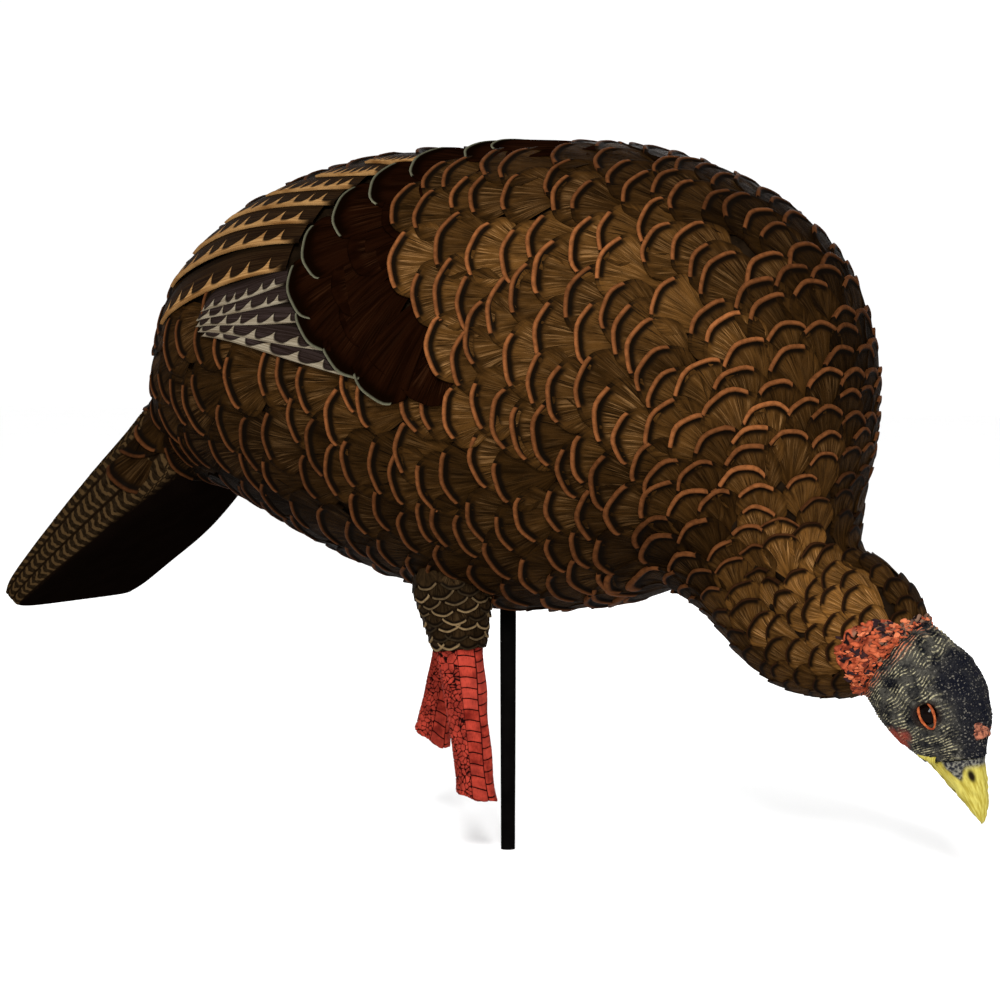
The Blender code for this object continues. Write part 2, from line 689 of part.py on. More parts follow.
def make_head(mats):
    def neck_turned(name, profile, mat, steps=32):
        return turned(name, profile, mat, NECK_AXIS, NECK_CENTRE, steps)

    neck_turned(
        "neck_collar",
        ((PLUG_R + GAP, -0.0150), (0.0215, -0.0150), (0.0215, -0.0023), (PLUG_R + GAP, -0.0023)),
        mats["black"],
    )
    neck_turned(
        "head_plug",
        (
            (0.0, -0.034),
            (PLUG_R - 0.001, -0.034),
            (PLUG_R, -0.032),
            (PLUG_R, ORING_Z - 0.0011),
            (PLUG_R - 0.0016, ORING_Z - 0.0011),
            (PLUG_R - 0.0016, ORING_Z + 0.0011),
            (PLUG_R, ORING_Z + 0.0011),
            (PLUG_R, -0.0020),
            (0.0180, -0.0020),
            (0.0180, 0.0),
            (PIVOT_R, 0.0),
            (PIVOT_R, 0.0150),
            (PIVOT_R + 0.0010, 0.0160),
            (PIVOT_R + 0.0010, 0.0170),
            (PIVOT_R - 0.0015, 0.0200),
            (0.0, 0.0200),
        ),
        mats["bearing"],
    )
    turns = [2 * pi * k / 8 for k in range(8)]
    ring = [(PLUG_R - 0.0006 + 0.0008 * cos(t), ORING_Z + 0.0008 * sin(t)) for t in turns]
    neck_turned("head_oring", ring, mats["black"], 24)

    def sections(rows, count, first=0.0):
        last = len(rows) - 1
        rings = []
        for i in range(count + 1):
            cx, cz, tx, tz, width = spline(rows, first + (last - first) * i / count)
            rings.append([oval((cx, cz), (tx, tz), width, 2 * pi * j / 20) for j in range(20)])
        return rings

    rings = sections(HEAD_ROWS, 10)
    rings[0] = [point + NECK_AXIS * GAP for point in rings[0]]
    ends = [sum((Vector(p) for p in ring), Vector()) / 20 for ring in (rings[0], rings[-1])]
    head = skin("head_shell", rings, mats["head"], ends[0], ends[1])
    bore = neck_turned(
        "cut_pivot",
        (
            (0.0, -0.01),
            (PIVOT_R + GAP, -0.01),
            (PIVOT_R + GAP, 0.0145),
            (PIVOT_R + 0.0014, 0.0155),
            (PIVOT_R + 0.0014, 0.0205),
            (0.0, 0.0205),
        ),
        None,
    )
    boolean(head, bore)

    rings = sections(BEAK_ROWS, 6)
    start = sum((Vector(p) for p in rings[0]), Vector()) / 20
    tip = Vector((BEAK_TIP[0], 0.0, BEAK_TIP[1]))
    (ax, az), (bx, bz) = GAPE
    run = Vector((bx - ax, 0.0, bz - az)).normalized()
    side = Vector((-run.z, 0.0, run.x))
    for name, sign in (("beak_upper", 1.0), ("beak_lower", -1.0)):
        half = skin(name, rings, mats["beak"], start, tip)
        turn = Matrix((run, Vector((0.0, -1.0, 0.0)), side)).transposed().to_4x4()
        place = Matrix.Translation(Vector((ax, 0.0, az))) @ turn
        low, high = sorted((sign * GAP, sign * 0.05))
        keep = block(f"keep_{name}", (-0.03, -0.03, low), (0.10, 0.03, high), None, place)
        boolean(half, keep, "INTERSECT")

    for name, sign in (("right", -1.0), ("left", 1.0)):
        at = (EYE_AT[0], sign * EYE_AT[1], EYE_AT[2])
        axis = Vector((0.10, sign, 0.05)).normalized()
        lens = [(EYE_R * cos(t), EYE_R * 0.75 * sin(t)) for t in (radians(a) for a in range(-90, 91, 18))]
        lens = [(0.0 if abs(r) < 1e-9 else r, z) for r, z in lens]
        turned(f"eye_{name}", lens, mats["eye"], axis, at, 16)
        deep = EYE_R * 0.75
        grown = [(r * (EYE_R + GAP) / EYE_R, z * (deep + GAP) / deep) for r, z in lens]
        socket = turned(f"cut_eye_{name}", grown, None, axis, at, 16)
        boolean(head, socket)

    root, lean = Vector((SNOOD_AT[0], 0.0, SNOOD_AT[1])), Vector((0.92, 0.0, 0.38)).normalized()
    nub = [(0.0, -0.004), (0.0036, -0.004), (0.0040, 0.001), (0.0034, 0.0045), (0.0018, 0.0070)]
    turned("snood", [*nub, (0.0, 0.0078)], mats["red"], lean, root, 16)
    pocket = [(0.0, -0.0043), (0.0039, -0.0043), (0.0043, 0.001), (0.0043, 0.012), (0.0, 0.012)]
    boolean(head, turned("cut_snood", pocket, None, lean, root, 16))


def main():
    clear_scene()
    mats = {
        "body": material("feather_brown", (0.09, 0.045, 0.02), 0.62),
        "wing_r": material("wing_right_brown", (0.07, 0.035, 0.016), 0.6),
        "wing_l": material("wing_left_brown", (0.07, 0.035, 0.016), 0.6),
        "thigh": material("thigh_brown", (0.05, 0.03, 0.015), 0.7),
        "leg": material("leg_red", (0.30, 0.05, 0.025), 0.5),
        "tail": material("tail_brown", (0.04, 0.02, 0.01), 0.6),
        "head": material("head_grey", (0.10, 0.08, 0.06), 0.6),
        "beak": material("beak_yellow", (0.50, 0.40, 0.12), 0.45),
        "eye": material("eye_black", (0.01, 0.008, 0.006), 0.1),
        "red": material("snood_red", (0.55, 0.10, 0.04), 0.5),
        "stake": material("stake_black", (0.006, 0.005, 0.005), 0.45),
        "black": material("moulded_black", (0.012, 0.012, 0.012), 0.55),
        "bearing": material("bearing_white", (0.65, 0.64, 0.60), 0.35),
        "washer": material("washer_brass", (0.60, 0.42, 0.16), 0.3, 1.0),
        "steel": material("steel", (0.45, 0.45, 0.46), 0.35, 1.0),
    }
    body = make_body(mats["body"])
    outer = envelope("cut_outer", GAP)
    inner = envelope("cut_inner", -WALL - 0.0008)
    for side_name, side, key in (("right", 1, "wing_r"), ("left", -1, "wing_l")):
        wing = make_wing(f"wing_{side_name}", side, mats[key], outer)
        make_wing_screws(side_name, side, body, wing, mats["steel"])
    for row in LEGS:
        make_leg(*row, body, (outer, inner), mats)
    make_stake(body, inner, mats)
    make_tail(body, mats)
    make_head(mats)


main()
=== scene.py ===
"""Looks of the feeding hen turkey decoy: feathers, wings, tail, head and legs over the CAD frame."""

import json
from math import cos, pi, radians, sin, tan
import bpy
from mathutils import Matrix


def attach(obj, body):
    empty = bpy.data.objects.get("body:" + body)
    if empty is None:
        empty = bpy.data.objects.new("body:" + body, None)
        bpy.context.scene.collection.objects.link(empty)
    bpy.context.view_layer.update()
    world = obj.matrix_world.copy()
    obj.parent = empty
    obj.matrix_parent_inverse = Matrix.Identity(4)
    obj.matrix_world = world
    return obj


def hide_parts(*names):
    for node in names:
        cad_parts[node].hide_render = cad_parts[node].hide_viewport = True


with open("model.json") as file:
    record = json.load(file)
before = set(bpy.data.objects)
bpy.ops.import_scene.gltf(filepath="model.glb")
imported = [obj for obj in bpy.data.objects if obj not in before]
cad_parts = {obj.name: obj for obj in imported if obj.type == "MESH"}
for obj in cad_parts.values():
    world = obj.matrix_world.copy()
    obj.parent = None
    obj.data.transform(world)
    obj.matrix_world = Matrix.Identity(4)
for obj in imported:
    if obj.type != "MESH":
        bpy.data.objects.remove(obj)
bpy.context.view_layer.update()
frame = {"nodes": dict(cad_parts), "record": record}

from types import SimpleNamespace

import bpy
import numpy as np
from mathutils import Vector

# Body sections from the rump to the neck's end, as the CAD has them: back (x, z), belly (x, z),
# half width, depth of the groove along the neck.
BODY = (
    (-0.268, 0.318, -0.222, 0.247, 0.055, 0.0),
    (-0.262, 0.353, -0.188, 0.236, 0.073, 0.0),
    (-0.236, 0.406, -0.139, 0.213, 0.097, 0.0),
    (-0.172, 0.450, -0.086, 0.191, 0.114, 0.0),
    (-0.084, 0.471, -0.029, 0.174, 0.122, 0.0),
    (0.009, 0.473, 0.024, 0.169, 0.124, 0.0),
    (0.083, 0.472, 0.069, 0.173, 0.120, 0.0),
    (0.142, 0.459, 0.102, 0.180, 0.113, 0.0),
    (0.196, 0.432, 0.122, 0.186, 0.103, 0.0),
    (0.236, 0.392, 0.131, 0.184, 0.091, 0.05),
    (0.254, 0.341, 0.139, 0.180, 0.079, 0.12),
    (0.255, 0.289, 0.149, 0.173, 0.067, 0.20),
    (0.248, 0.247, 0.164, 0.158, 0.056, 0.26),
    (0.248, 0.216, 0.181, 0.139, 0.047, 0.26),
    (0.268, 0.204, 0.206, 0.124, 0.042, 0.18),
    (0.286, 0.188, 0.236, 0.120, 0.037, 0.08),
    (0.295, 0.169, 0.260, 0.124, 0.031, 0.0),
)
# Tail sections: centre (x, z), degrees below the horizontal, half width, half thickness, squareness.
TAIL = (
    (-0.2452, 0.2823, 33, 0.055, 0.0422, 2.0),
    (-0.2645, 0.2600, 38, 0.061, 0.0350, 3.0),
    (-0.2870, 0.2370, 42, 0.069, 0.0285, 4.0),
    (-0.3120, 0.2130, 44, 0.074, 0.0215, 6.0),
    (-0.3370, 0.1910, 46, 0.075, 0.0165, 7.0),
    (-0.3590, 0.1710, 48, 0.0745, 0.0125, 7.0),
    (-0.3685, 0.1620, 48, 0.0710, 0.0100, 6.0),
)
# Head and beak sections: crown (x, z), throat (x, z), half width.
HEAD = (
    (0.2955, 0.1685, 0.2605, 0.1235, 0.0300),
    (0.3105, 0.1595, 0.2650, 0.1140, 0.0290),
    (0.3260, 0.1450, 0.2715, 0.1035, 0.0270),
    (0.3365, 0.1235, 0.2800, 0.0945, 0.0235),
    (0.3375, 0.1030, 0.2895, 0.0870, 0.0190),
    (0.3360, 0.0880, 0.2975, 0.0825, 0.0160),
)
BEAK = (
    (0.3350, 0.0870, 0.2990, 0.0818, 0.0140),
    (0.3370, 0.0730, 0.3095, 0.0712, 0.0115),
    (0.3380, 0.0600, 0.3205, 0.0593, 0.0085),
    (0.3370, 0.0500, 0.3290, 0.0496, 0.0048),
    (0.3342, 0.0447, 0.3338, 0.0443, 0.0006),
)
GAPE = ((0.2975, 0.0880), (0.3345, 0.0440))
EYE_AT = (0.3050, 0.0190, 0.1140)
SNOOD_AT = (0.3330, 0.1060)
# Legs: name, side, hip (x, z), ankle (x, z), hip, ankle and thigh radius.
LEGS = (
    ("right", -1, (-0.0120, 0.1410), (0.0000, 0.0440), 0.0148, 0.0120, 0.0245),
    ("left", 1, (-0.0660, 0.1500), (-0.0850, 0.0660), 0.0118, 0.0108, 0.0190),
)
LEG_OUT = 0.046

# Wing marks as (section, degrees from the back). Flight feathers: root and tip of the lower edge.
FLIGHT = (
    ((4.45, 23), (3.95, 19)),
    ((4.20, 29), (3.55, 22)),
    ((4.05, 35), (3.10, 24)),
    ((3.90, 41), (2.65, 26)),
    ((3.75, 47), (2.25, 30)),
    ((3.65, 53), (1.90, 37)),
    ((3.55, 61), (1.72, 53)),
)
SECONDARY = (
    ((3.56, 65), (2.52, 65)),
    ((3.60, 70), (2.44, 67)),
    ((3.72, 76), (2.42, 69)),
    ((4.00, 84), (2.44, 71)),
    ((4.28, 91), (2.48, 73)),
)
# Covert tips, with the turn of each feather away from the body's length.
COVERT_TIPS = (
    (4.95, 9, 10), (4.80, 16, 6), (4.45, 25, 1), (4.20, 35, -4), (3.95, 45, -8),
    (3.72, 56, -14), (3.60, 67, -26), (3.70, 76, -44), (3.95, 83, -54), (4.24, 89, -58),
)
# The wing's outline as (degrees, section): where the shoulder's feathers end, and the wing's rear.
SCAPULAR_EDGE = (
    (0, 5.2), (18, 5.05), (31, 4.70), (42, 4.50), (58, 4.50), (71, 4.60), (88, 4.90), (97, 5.3),
)
WING_REAR = (
    (14, 4.6), (19, 4.0), (24, 3.2), (30, 2.35), (37, 2.0),
    (55, 1.85), (64, 2.6), (76, 2.7), (90, 3.9), (97, 4.6),
)
# Round feathers: (section, metres) for their spacing across and along the body, and the brightness as painted
# light and shade by degrees from the back and by section: darker on top, below and at the rump, lighter on
# the flank and neck.
ACROSS = (
    (-1, 0.036), (6, 0.038), (8, 0.035), (9.3, 0.030),
    (10.5, 0.025), (12, 0.0205), (14, 0.0180), (16, 0.0150),
)
PITCH = (
    (-1, 0.0125), (5, 0.0125), (7.5, 0.0118), (9.3, 0.0108),
    (10.5, 0.0100), (12, 0.0092), (14, 0.0086), (16, 0.0076),
)
LIGHT_AND_SHADE_ROUND = (
    (0, 0.15), (20, 0.22), (40, 0.50), (60, 1.05), (90, 0.88), (115, 0.42), (135, 0.26), (180, 0.17),
)
LIGHT_AND_SHADE_ALONG = (
    (-1, 0.18), (1, 0.26), (3, 0.48), (5.5, 1.18), (8, 0.95),
    (10, 0.80), (11, 1.15), (12.5, 2.3), (16, 2.9),
)
NECK_START, NECK_END = 10.9, 16
SIDES = (("right", 1), ("left", -1))


# ---- surfaces


def table(pairs, x):
    """The value at x of a curve given as (place, value) pairs."""
    return np.interp(x, *np.array(pairs).T)


def circle(count):
    return np.linspace(0, 2 * pi, count, endpoint=False)


def grid(outer, inner):
    return np.repeat(outer, len(inner)), np.tile(inner, len(outer))


def wrapped(a):
    return (a + pi) % (2 * pi) - pi


def spline(rows, t):
    """Catmull-Rom through evenly spaced rows of values, at many places."""
    t = np.clip(t, 0, len(rows) - 1)
    i = np.minimum(t.astype(int), len(rows) - 2)
    f = (t - i)[:, None]
    a, b, c, d = rows[np.maximum(i - 1, 0)], rows[i], rows[i + 1], rows[np.minimum(i + 2, len(rows) - 1)]
    square, cube = 2 * a - 5 * b + 4 * c - d, 3 * b - a - 3 * c + d
    return 0.5 * (2 * b + (c - a) * f + square * f * f + cube * f**3)


def tail_root_row(x, z, slope, width, thick, _):
    up = np.array([-sin(radians(slope)), cos(radians(slope))])
    centre = np.array([x, z])
    return [*(centre + up * thick), *(centre - up * thick), width, 0.0]


# Two of the tail's sections carry the body's surface onto it.
TAIL_ROOT = (TAIL[2], TAIL[1])
BODY_ROWS = np.array([tail_root_row(*row) for row in TAIL_ROOT] + [list(row) for row in BODY])
HEAD_ROWS, BEAK_ROWS, TAIL_ROWS = np.array(HEAD), np.array(BEAK), np.array(TAIL)


def oval(rows, angle):
    c = np.cos(angle)
    middle, half = (rows[:, 0:2] + rows[:, 2:4]) / 2, (rows[:, 0:2] - rows[:, 2:4]) / 2
    flat = middle + half * c[:, None]
    return np.stack([flat[:, 0], -rows[:, 4] * np.sin(angle), flat[:, 1]], 1)


def body_surface(s, a):
    """The body's skin: section s and angle a from the back over the right side to the belly."""
    rows = spline(BODY_ROWS, s + len(TAIL_ROOT))
    off = (np.abs(wrapped(a)) - radians(97)) / 0.30
    rows[:, 4] *= 1 - rows[:, 5] * np.exp(-off * off)
    return oval(rows, a)


def head_surface(t, a):
    return oval(spline(HEAD_ROWS, t), a)


def beak_surface(t, a):
    return oval(spline(BEAK_ROWS, t), a)


def tail_surface(t, a):
    rows = spline(TAIL_ROWS, t)
    slope, width, thick, square = np.radians(rows[:, 2]), rows[:, 3], rows[:, 4], rows[:, 5]
    c, s = (np.sign(f) * np.abs(f) ** (2 / square) for f in (np.cos(a), np.sin(a)))
    x, z = rows[:, 0] - np.sin(slope) * thick * c, rows[:, 1] + np.cos(slope) * thick * c
    return np.stack([x, -width * s, z], 1)


def leg_frame(side, hip, ankle):
    """Points at the hip and the ankle, the way up the leg and the way ahead of it, and its length."""
    axis = np.array([hip[0] - ankle[0], 0.0, hip[1] - ankle[1]])
    length = np.linalg.norm(axis)
    axis /= length
    top, foot = (np.array([x, side * LEG_OUT, z]) for x, z in (hip, ankle))
    return top, foot, axis, np.array([axis[2], 0.0, -axis[0]]), length


def thigh_surface(side, hip, ankle, hip_r, thigh_r):
    """The thigh's cone: s is metres up from the hip's end, a goes round it."""
    base, _, axis, ahead, _ = leg_frame(side, hip, ankle)

    def surface(s, a):
        r = np.interp(s, [0.0, 0.004, 0.040, 0.060], [hip_r * 0.96, hip_r * 1.08, thigh_r, thigh_r])
        ring = np.cos(a)[:, None] * ahead + np.sin(a)[:, None] * np.array([0.0, 1.0, 0.0])
        return base + s[:, None] * axis + r[:, None] * ring

    return surface


def unit(v):
    return v / np.maximum(np.linalg.norm(v, axis=1, keepdims=True), 1e-12)


def slopes(surface, s, a, step):
    ps = (surface(s + step, a) - surface(s - step, a)) / (2 * step)
    pa = (surface(s, a + 0.01) - surface(s, a - 0.01)) / 0.02
    return ps, pa


def normal_at(surface, s, a, step=0.02):
    ps, pa = slopes(surface, s, a, step)
    return unit(np.cross(pa, ps))


def with_outward(surface, t, a):
    """The surface's points, and its normals turned away from the middle of each section."""
    points, normal = surface(t, a), normal_at(surface, t, a)
    middle = (surface(t, 0 * a) + surface(t, 0 * a + pi)) / 2
    return points, normal * np.sign((normal * (points - middle)).sum(1, keepdims=True))


def shift(surface, s, a, vector, step=0.02):
    """(s, a) moved by tangent vectors in metres, to first order."""
    ps, pa = slopes(surface, s, a, step)
    e, f, g = (ps * ps).sum(1), (ps * pa).sum(1), (pa * pa).sum(1)
    u, v = (vector * ps).sum(1), (vector * pa).sum(1)
    det = np.maximum(e * g - f * f, 1e-15)
    return s + (u * g - v * f) / det, a + (v * e - u * f) / det


# ---- meshes


def add_object(name, data):
    obj = bpy.data.objects.new(name, data)
    bpy.context.scene.collection.objects.link(obj)
    return obj


def make_mesh(name, points, faces, attributes, mat, body, slot, replaced=()):
    mesh = bpy.data.meshes.new(name)
    mesh.from_pydata(points.tolist(), [], faces.tolist() if hasattr(faces, "tolist") else faces)
    for key, values in attributes.items():
        layer = mesh.attributes.new(key, "FLOAT", "POINT")
        layer.data.foreach_set("value", np.asarray(values, np.float32))
    mesh.polygons.foreach_set("use_smooth", np.ones(len(mesh.polygons), bool))
    mesh.materials.append(mat)
    obj = add_object(name, mesh)
    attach(obj, body)
    if replaced:
        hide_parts(*replaced)
    return obj


def grid_faces(rows, columns, closed=False, looped=False, start=0):
    """Quads of a grid; closed joins its last column to the first, looped its last row to the first."""
    i, j = np.meshgrid(
        np.arange(rows if looped else rows - 1), np.arange(columns if closed else columns - 1), indexing="ij"
    )
    i, k, n = i * columns, (j + 1) % columns, (i + 1) % rows * columns
    return np.stack([i + j, i + k, n + k, n + j], -1).reshape(-1, 4) + start


# A round feather's grid: parts of its length, with the last row turned down as a skirt, and degrees.
RHO = np.array([0.0, 0.28, 0.5, 0.64, 0.74, 0.81, 0.865, 0.90, 0.925, 0.95, 0.975, 1.0, 1.0])
PHI = np.linspace(-112, 112, 23)


def feather_grid(surface, f, step=0.02):
    """Points and attributes of many round feathers at once. f holds an array per property."""
    count = len(f["s"])
    rho, phi = np.meshgrid(RHO, np.radians(PHI), indexing="ij")
    skirt = np.zeros_like(rho)
    skirt[-1] = 1.0
    rho, phi, skirt = (np.broadcast_to(m.ravel(), (count, m.size)) for m in (rho, phi, skirt))
    col = SimpleNamespace(**{k: v[:, None] for k, v in f.items()})
    swell = 1 + 0.02 * np.sin(7 * phi + 9 * col.rnd)
    x = -col.back + rho * (col.long * np.cos(phi) * swell + col.back)
    y = rho * col.wide * np.sin(phi) * swell
    c, s = np.cos(col.turn), np.sin(col.turn)
    x, y = x * c - y * s, x * s + y * c
    ps, pa = slopes(surface, f["s"], f["a"], step)
    ex = unit(-ps)
    ey = unit(pa - (pa * ex).sum(1, keepdims=True) * ex)
    vector = x[..., None] * ex[:, None] + y[..., None] * ey[:, None]
    size = rho.shape[1]
    s0, a0 = np.repeat(f["s"], size), np.repeat(f["a"], size)
    sv, av = shift(surface, s0, a0, vector.reshape(-1, 3), step)
    end = (np.abs(phi) / col.reach).clip(0, 2)
    on = np.clip((1.08 - end) / 0.16, 0, 1) * col.rim
    ridge = np.exp(-(((rho - (1 + col.start) / 2) / (0.62 * (1 - col.start))) ** 4))
    groove = np.exp(-(((rho - col.start + 0.03) / 0.028) ** 2))
    barbs = np.sin(31 * phi + 40 * col.rnd) + 0.6 * np.sin(53 * phi + 11 * col.rnd)
    lean = 0.45 + 0.55 * np.cos(phi / 2) ** 2
    h = col.low + (col.high - col.low) * rho**1.4 * lean
    h = h + col.relief * on * (ridge - 0.7 * groove) + col.relief * 0.10 * barbs * rho**2 * (rho < 0.9)
    h = h - skirt * (col.relief + 0.45 * (col.high - col.low))
    points = surface(sv, av) + normal_at(surface, sv, av, step) * h.reshape(-1, 1)
    even = {k: f[k][:, None] + 0 * rho for k in ("rnd", "tone", "rim", "start")}
    flat = {"rho": rho, "phi": phi / col.reach, **even}
    faces = grid_faces(len(RHO), len(PHI))
    faces = (faces[None] + (np.arange(count) * size)[:, None, None]).reshape(-1, 4)
    return points, faces, {k: v.ravel() for k, v in flat.items()}


def feather_pieces(name, surface, f, mat, slot, step=0.02, most=330):
    """The feathers, split into even pieces of no more than `most` feathers each. The
    feathers as pieces of a size that exports whole.
    """
    count = len(f["s"])
    parts = max(1, -(-count // most))
    for k in range(parts):
        part = kept(f, slice(k * count // parts, (k + 1) * count // parts))
        make_mesh(f"{name}_{k + 1:02d}", *feather_grid(surface, part, step), mat, "decoy", slot)


# ---- materials


# Colours are given as they look under the studio's key light; the paint itself is darker by this much.
LAMP = 0.66


class Wire:
    """A node's output, which can be added to, subtracted from and multiplied."""

    def __init__(self, paint, socket):
        self.paint, self.socket = paint, socket

    def __add__(self, other):
        return self.paint.math("ADD", self, other)

    def __sub__(self, other):
        return self.paint.math("SUBTRACT", self, other)

    def __mul__(self, other):
        return self.paint.math("MULTIPLY", self, other)


class Paint:
    """Short names for the nodes of one material."""

    def __init__(self, name, rough=0.5, metallic=0.0, specular=0.004):
        self.mat = bpy.data.materials.new(name)
        self.mat.use_nodes = True
        self.tree = self.mat.node_tree
        self.shader = self.tree.nodes["Principled BSDF"]
        self.shader.inputs["Roughness"].default_value = rough
        self.shader.inputs["Metallic"].default_value = metallic
        self.shader.inputs["Specular IOR Level"].default_value = specular

    def put(self, socket, value):
        if isinstance(value, Wire):
            self.tree.links.new(value.socket, socket)
        elif isinstance(value, tuple) and len(value) == 3 and socket.type == "RGBA":
            socket.default_value = (*(LAMP * c for c in value), 1.0)
        else:
            socket.default_value = value

    def node(self, kind):
        return self.tree.nodes.new("ShaderNode" + kind)

    def attribute(self, name):
        node = self.node("Attribute")
        node.attribute_name = name
        return Wire(self, node.outputs["Fac"])

    def attributes(self, names):
        return [self.attribute(name) for name in names.split()]

    def math(self, operation, *values):
        node = self.node("Math")
        node.operation = operation
        return self.filled_in(node, values)

    def filled_in(self, node, values):
        for socket, value in zip(node.inputs, values):
            self.put(socket, value)
        return Wire(self, node.outputs[0])

    def step(self, value, low, high, to=(0.0, 1.0)):
        node = self.node("MapRange")
        node.interpolation_type = "SMOOTHSTEP"
        return self.filled_in(node, (value, low, high, *to))

    def mix(self, factor, a, b, blend="MIX"):
        node = self.node("Mix")
        node.data_type, node.blend_type = "RGBA", blend
        self.put(node.inputs[0], factor)
        self.put(node.inputs[6], a)
        self.put(node.inputs[7], b)
        return Wire(self, node.outputs[2])

    def vector(self, *values):
        return self.filled_in(self.node("CombineXYZ"), values)

    def noise(self, scale, detail=3.0, vector=None, rough=0.55):
        node = self.node("TexNoise")
        vector = vector or Wire(self, self.node("TexCoord").outputs["Object"])
        for key, value in (("Vector", vector), ("Scale", scale), ("Detail", detail), ("Roughness", rough)):
            self.put(node.inputs[key], value)
        return Wire(self, node.outputs["Fac"])

    def drawn(self, *values, detail=4.0, scale=1.0, rough=0.55):
        """Noise over up to three values in place of a position."""
        return self.noise(scale, detail, self.vector(*values), rough)

    def blend(self, value, a, b):
        """From colour a to b over the middle of a noise."""
        return self.mix(self.step(value, 0.3, 0.7), a, b)

    def finish(self, colour, bump, depth, worn=None, rough=()):
        """The roughness goes from one of rough to the other over the middle of the noise worn."""
        self.put(self.shader.inputs["Base Color"], colour)
        if rough:
            self.put(self.shader.inputs["Roughness"], self.step(worn, 0.3, 0.7, rough))
        node = self.node("Bump")
        node.inputs["Strength"].default_value = 0.8
        node.inputs["Distance"].default_value = depth
        self.put(node.inputs["Height"], bump)
        self.tree.links.new(node.outputs[0], self.shader.inputs["Normal"])
        return self.mat


FEATHER_BLACK = (0.003, 0.0018, 0.0010)


def dimmed(colour, factor):
    return tuple(factor * c for c in colour)


def feather_paint(
    name, inside, streak, rim_colour, black=FEATHER_BLACK, streaks=0.95, gloss=0.46, specular=0.004
):
    """Round feathers: a rim in one colour with a painted highlight on its top, a dark crescent inside it that
    is partly painted shade, and barbs fanning from the root, some lighter as painted sheen.
    """
    p = Paint(name, specular=specular)
    rho, phi, rnd, tone, rim, start = p.attributes("rho phi rnd tone rim start")
    shade = p.drawn(phi * 1.1, rho, rnd * 31.0, scale=2.2)
    fine = p.drawn(phi * 17.0, rho * 1.6, rnd * 47.0, rough=0.7)
    broad = p.drawn(phi * 6.0, rho * 1.2, rnd * 23.0, detail=2.0)
    middle = p.step(rho, 0.3, 0.62) * p.step(rho, 0.8, 0.92, (1.0, 0.0))
    some = p.step(p.math("FRACT", rnd * 7.3), 0.35, 0.95, (0.3, 1.0))
    # Lighter tan streaks on the barbs: partly dry-brushed paint, partly painted sheen.
    light = p.step(fine, 0.47, 0.62) * p.step(broad, 0.36, 0.6) * middle * some * streaks
    split = p.step(fine, 0.43, 0.35) * p.step(rho, 0.35, 0.7) * 0.85
    body = p.blend(shade, inside, dimmed(inside, 0.36))
    body = p.mix(light, body, streak)
    body = p.mix(split, body, black)
    # Each feather's random tone, with the painted light and shade of its place on the body.
    body = p.mix(1.0, body, tone, "MULTIPLY")
    side = p.math("ABSOLUTE", phi + (rnd - 0.5) * 0.25)
    # The dark crescent inside the rim is partly the feather's black band and partly painted shade in the
    # groove there.
    inner = start - p.step(fine, 0.3, 0.7, (0.075, 0.13))
    crescent = p.step(rho, inner, start - 0.03) * p.step(side, 1.15, 0.85)
    body = p.mix(crescent * 0.96, body, black)
    edge = p.step(rho, start - 0.006, start + 0.008)
    # Painted shade along the feather's outer edge, where it turns down onto the next one; lighter where a rim
    # covers it.
    body = p.mix(edge * p.step(side, 1.35, 1.0, (0.25, 0.85)), body, black)
    on = edge * p.step(side, 1.02, 0.97) * rim
    # The rim's paint is dim on its inner slope and bright on its top, a painted highlight, broken up by worn
    # patches.
    wear = p.step(p.noise(260.0), 0.34, 0.62, (0.45, 1.0))
    top = p.step(rho, start, start + 0.03) * wear
    paint = p.mix(top, dimmed(rim_colour, 0.35), rim_colour)
    # The rims take the same painted light and shade, more gently.
    dim = p.math("MINIMUM", p.math("POWER", tone, 0.55), 1.15)
    body = p.mix(on, body, p.mix(1.0, paint, dim, "MULTIPLY"))
    height = fine * middle + p.noise(900.0, 2.0) * 0.25
    return p.finish(body, height, 0.0007, shade, (gloss, gloss + 0.16))


def comb_paint(name, ground, ground_light, line, line_light, teeth):
    """Wing quills: a pale line on the lower edge with cusped teeth standing up from it."""
    p = Paint(name)
    u, v, rnd = p.attributes("u v rnd")
    wobble = p.drawn(u * 3.0, 0.0, rnd * 29.0, detail=1.0, scale=2.0)
    wobble = (wobble - 0.5) * 1.1
    turns = u * teeth + v * 0.55 + wobble
    f = p.math("ABSOLUTE", p.math("FRACT", turns) * 2.0 - 1.0)
    cusp = p.math("POWER", f, 2.8) * 0.42 + 0.065
    on = p.step(v, cusp + 0.03, cusp - 0.05)
    on = on * p.step(u, 0.02, 0.1)
    grain = p.drawn(u * 3.0, v * 26.0, rnd * 41.0)
    base = p.mix(p.step(grain, 0.35, 0.7), ground, ground_light)
    # The upper part of each quill is painted dark as the shadow of the quill lying over it.
    base = p.mix(p.step(v, 0.62, 1.0, (0.0, 0.85)), base, (0.003, 0.002, 0.001))
    rim = p.step(v, cusp + 0.16, cusp) * 0.7
    base = p.mix(rim, base, (0.004, 0.002, 0.001))
    colour = p.mix(on, base, p.blend(grain, line, line_light))
    height = on * 0.8 + grain * 0.35
    return p.finish(colour, height, 0.0008, grain, (0.48, 0.62))


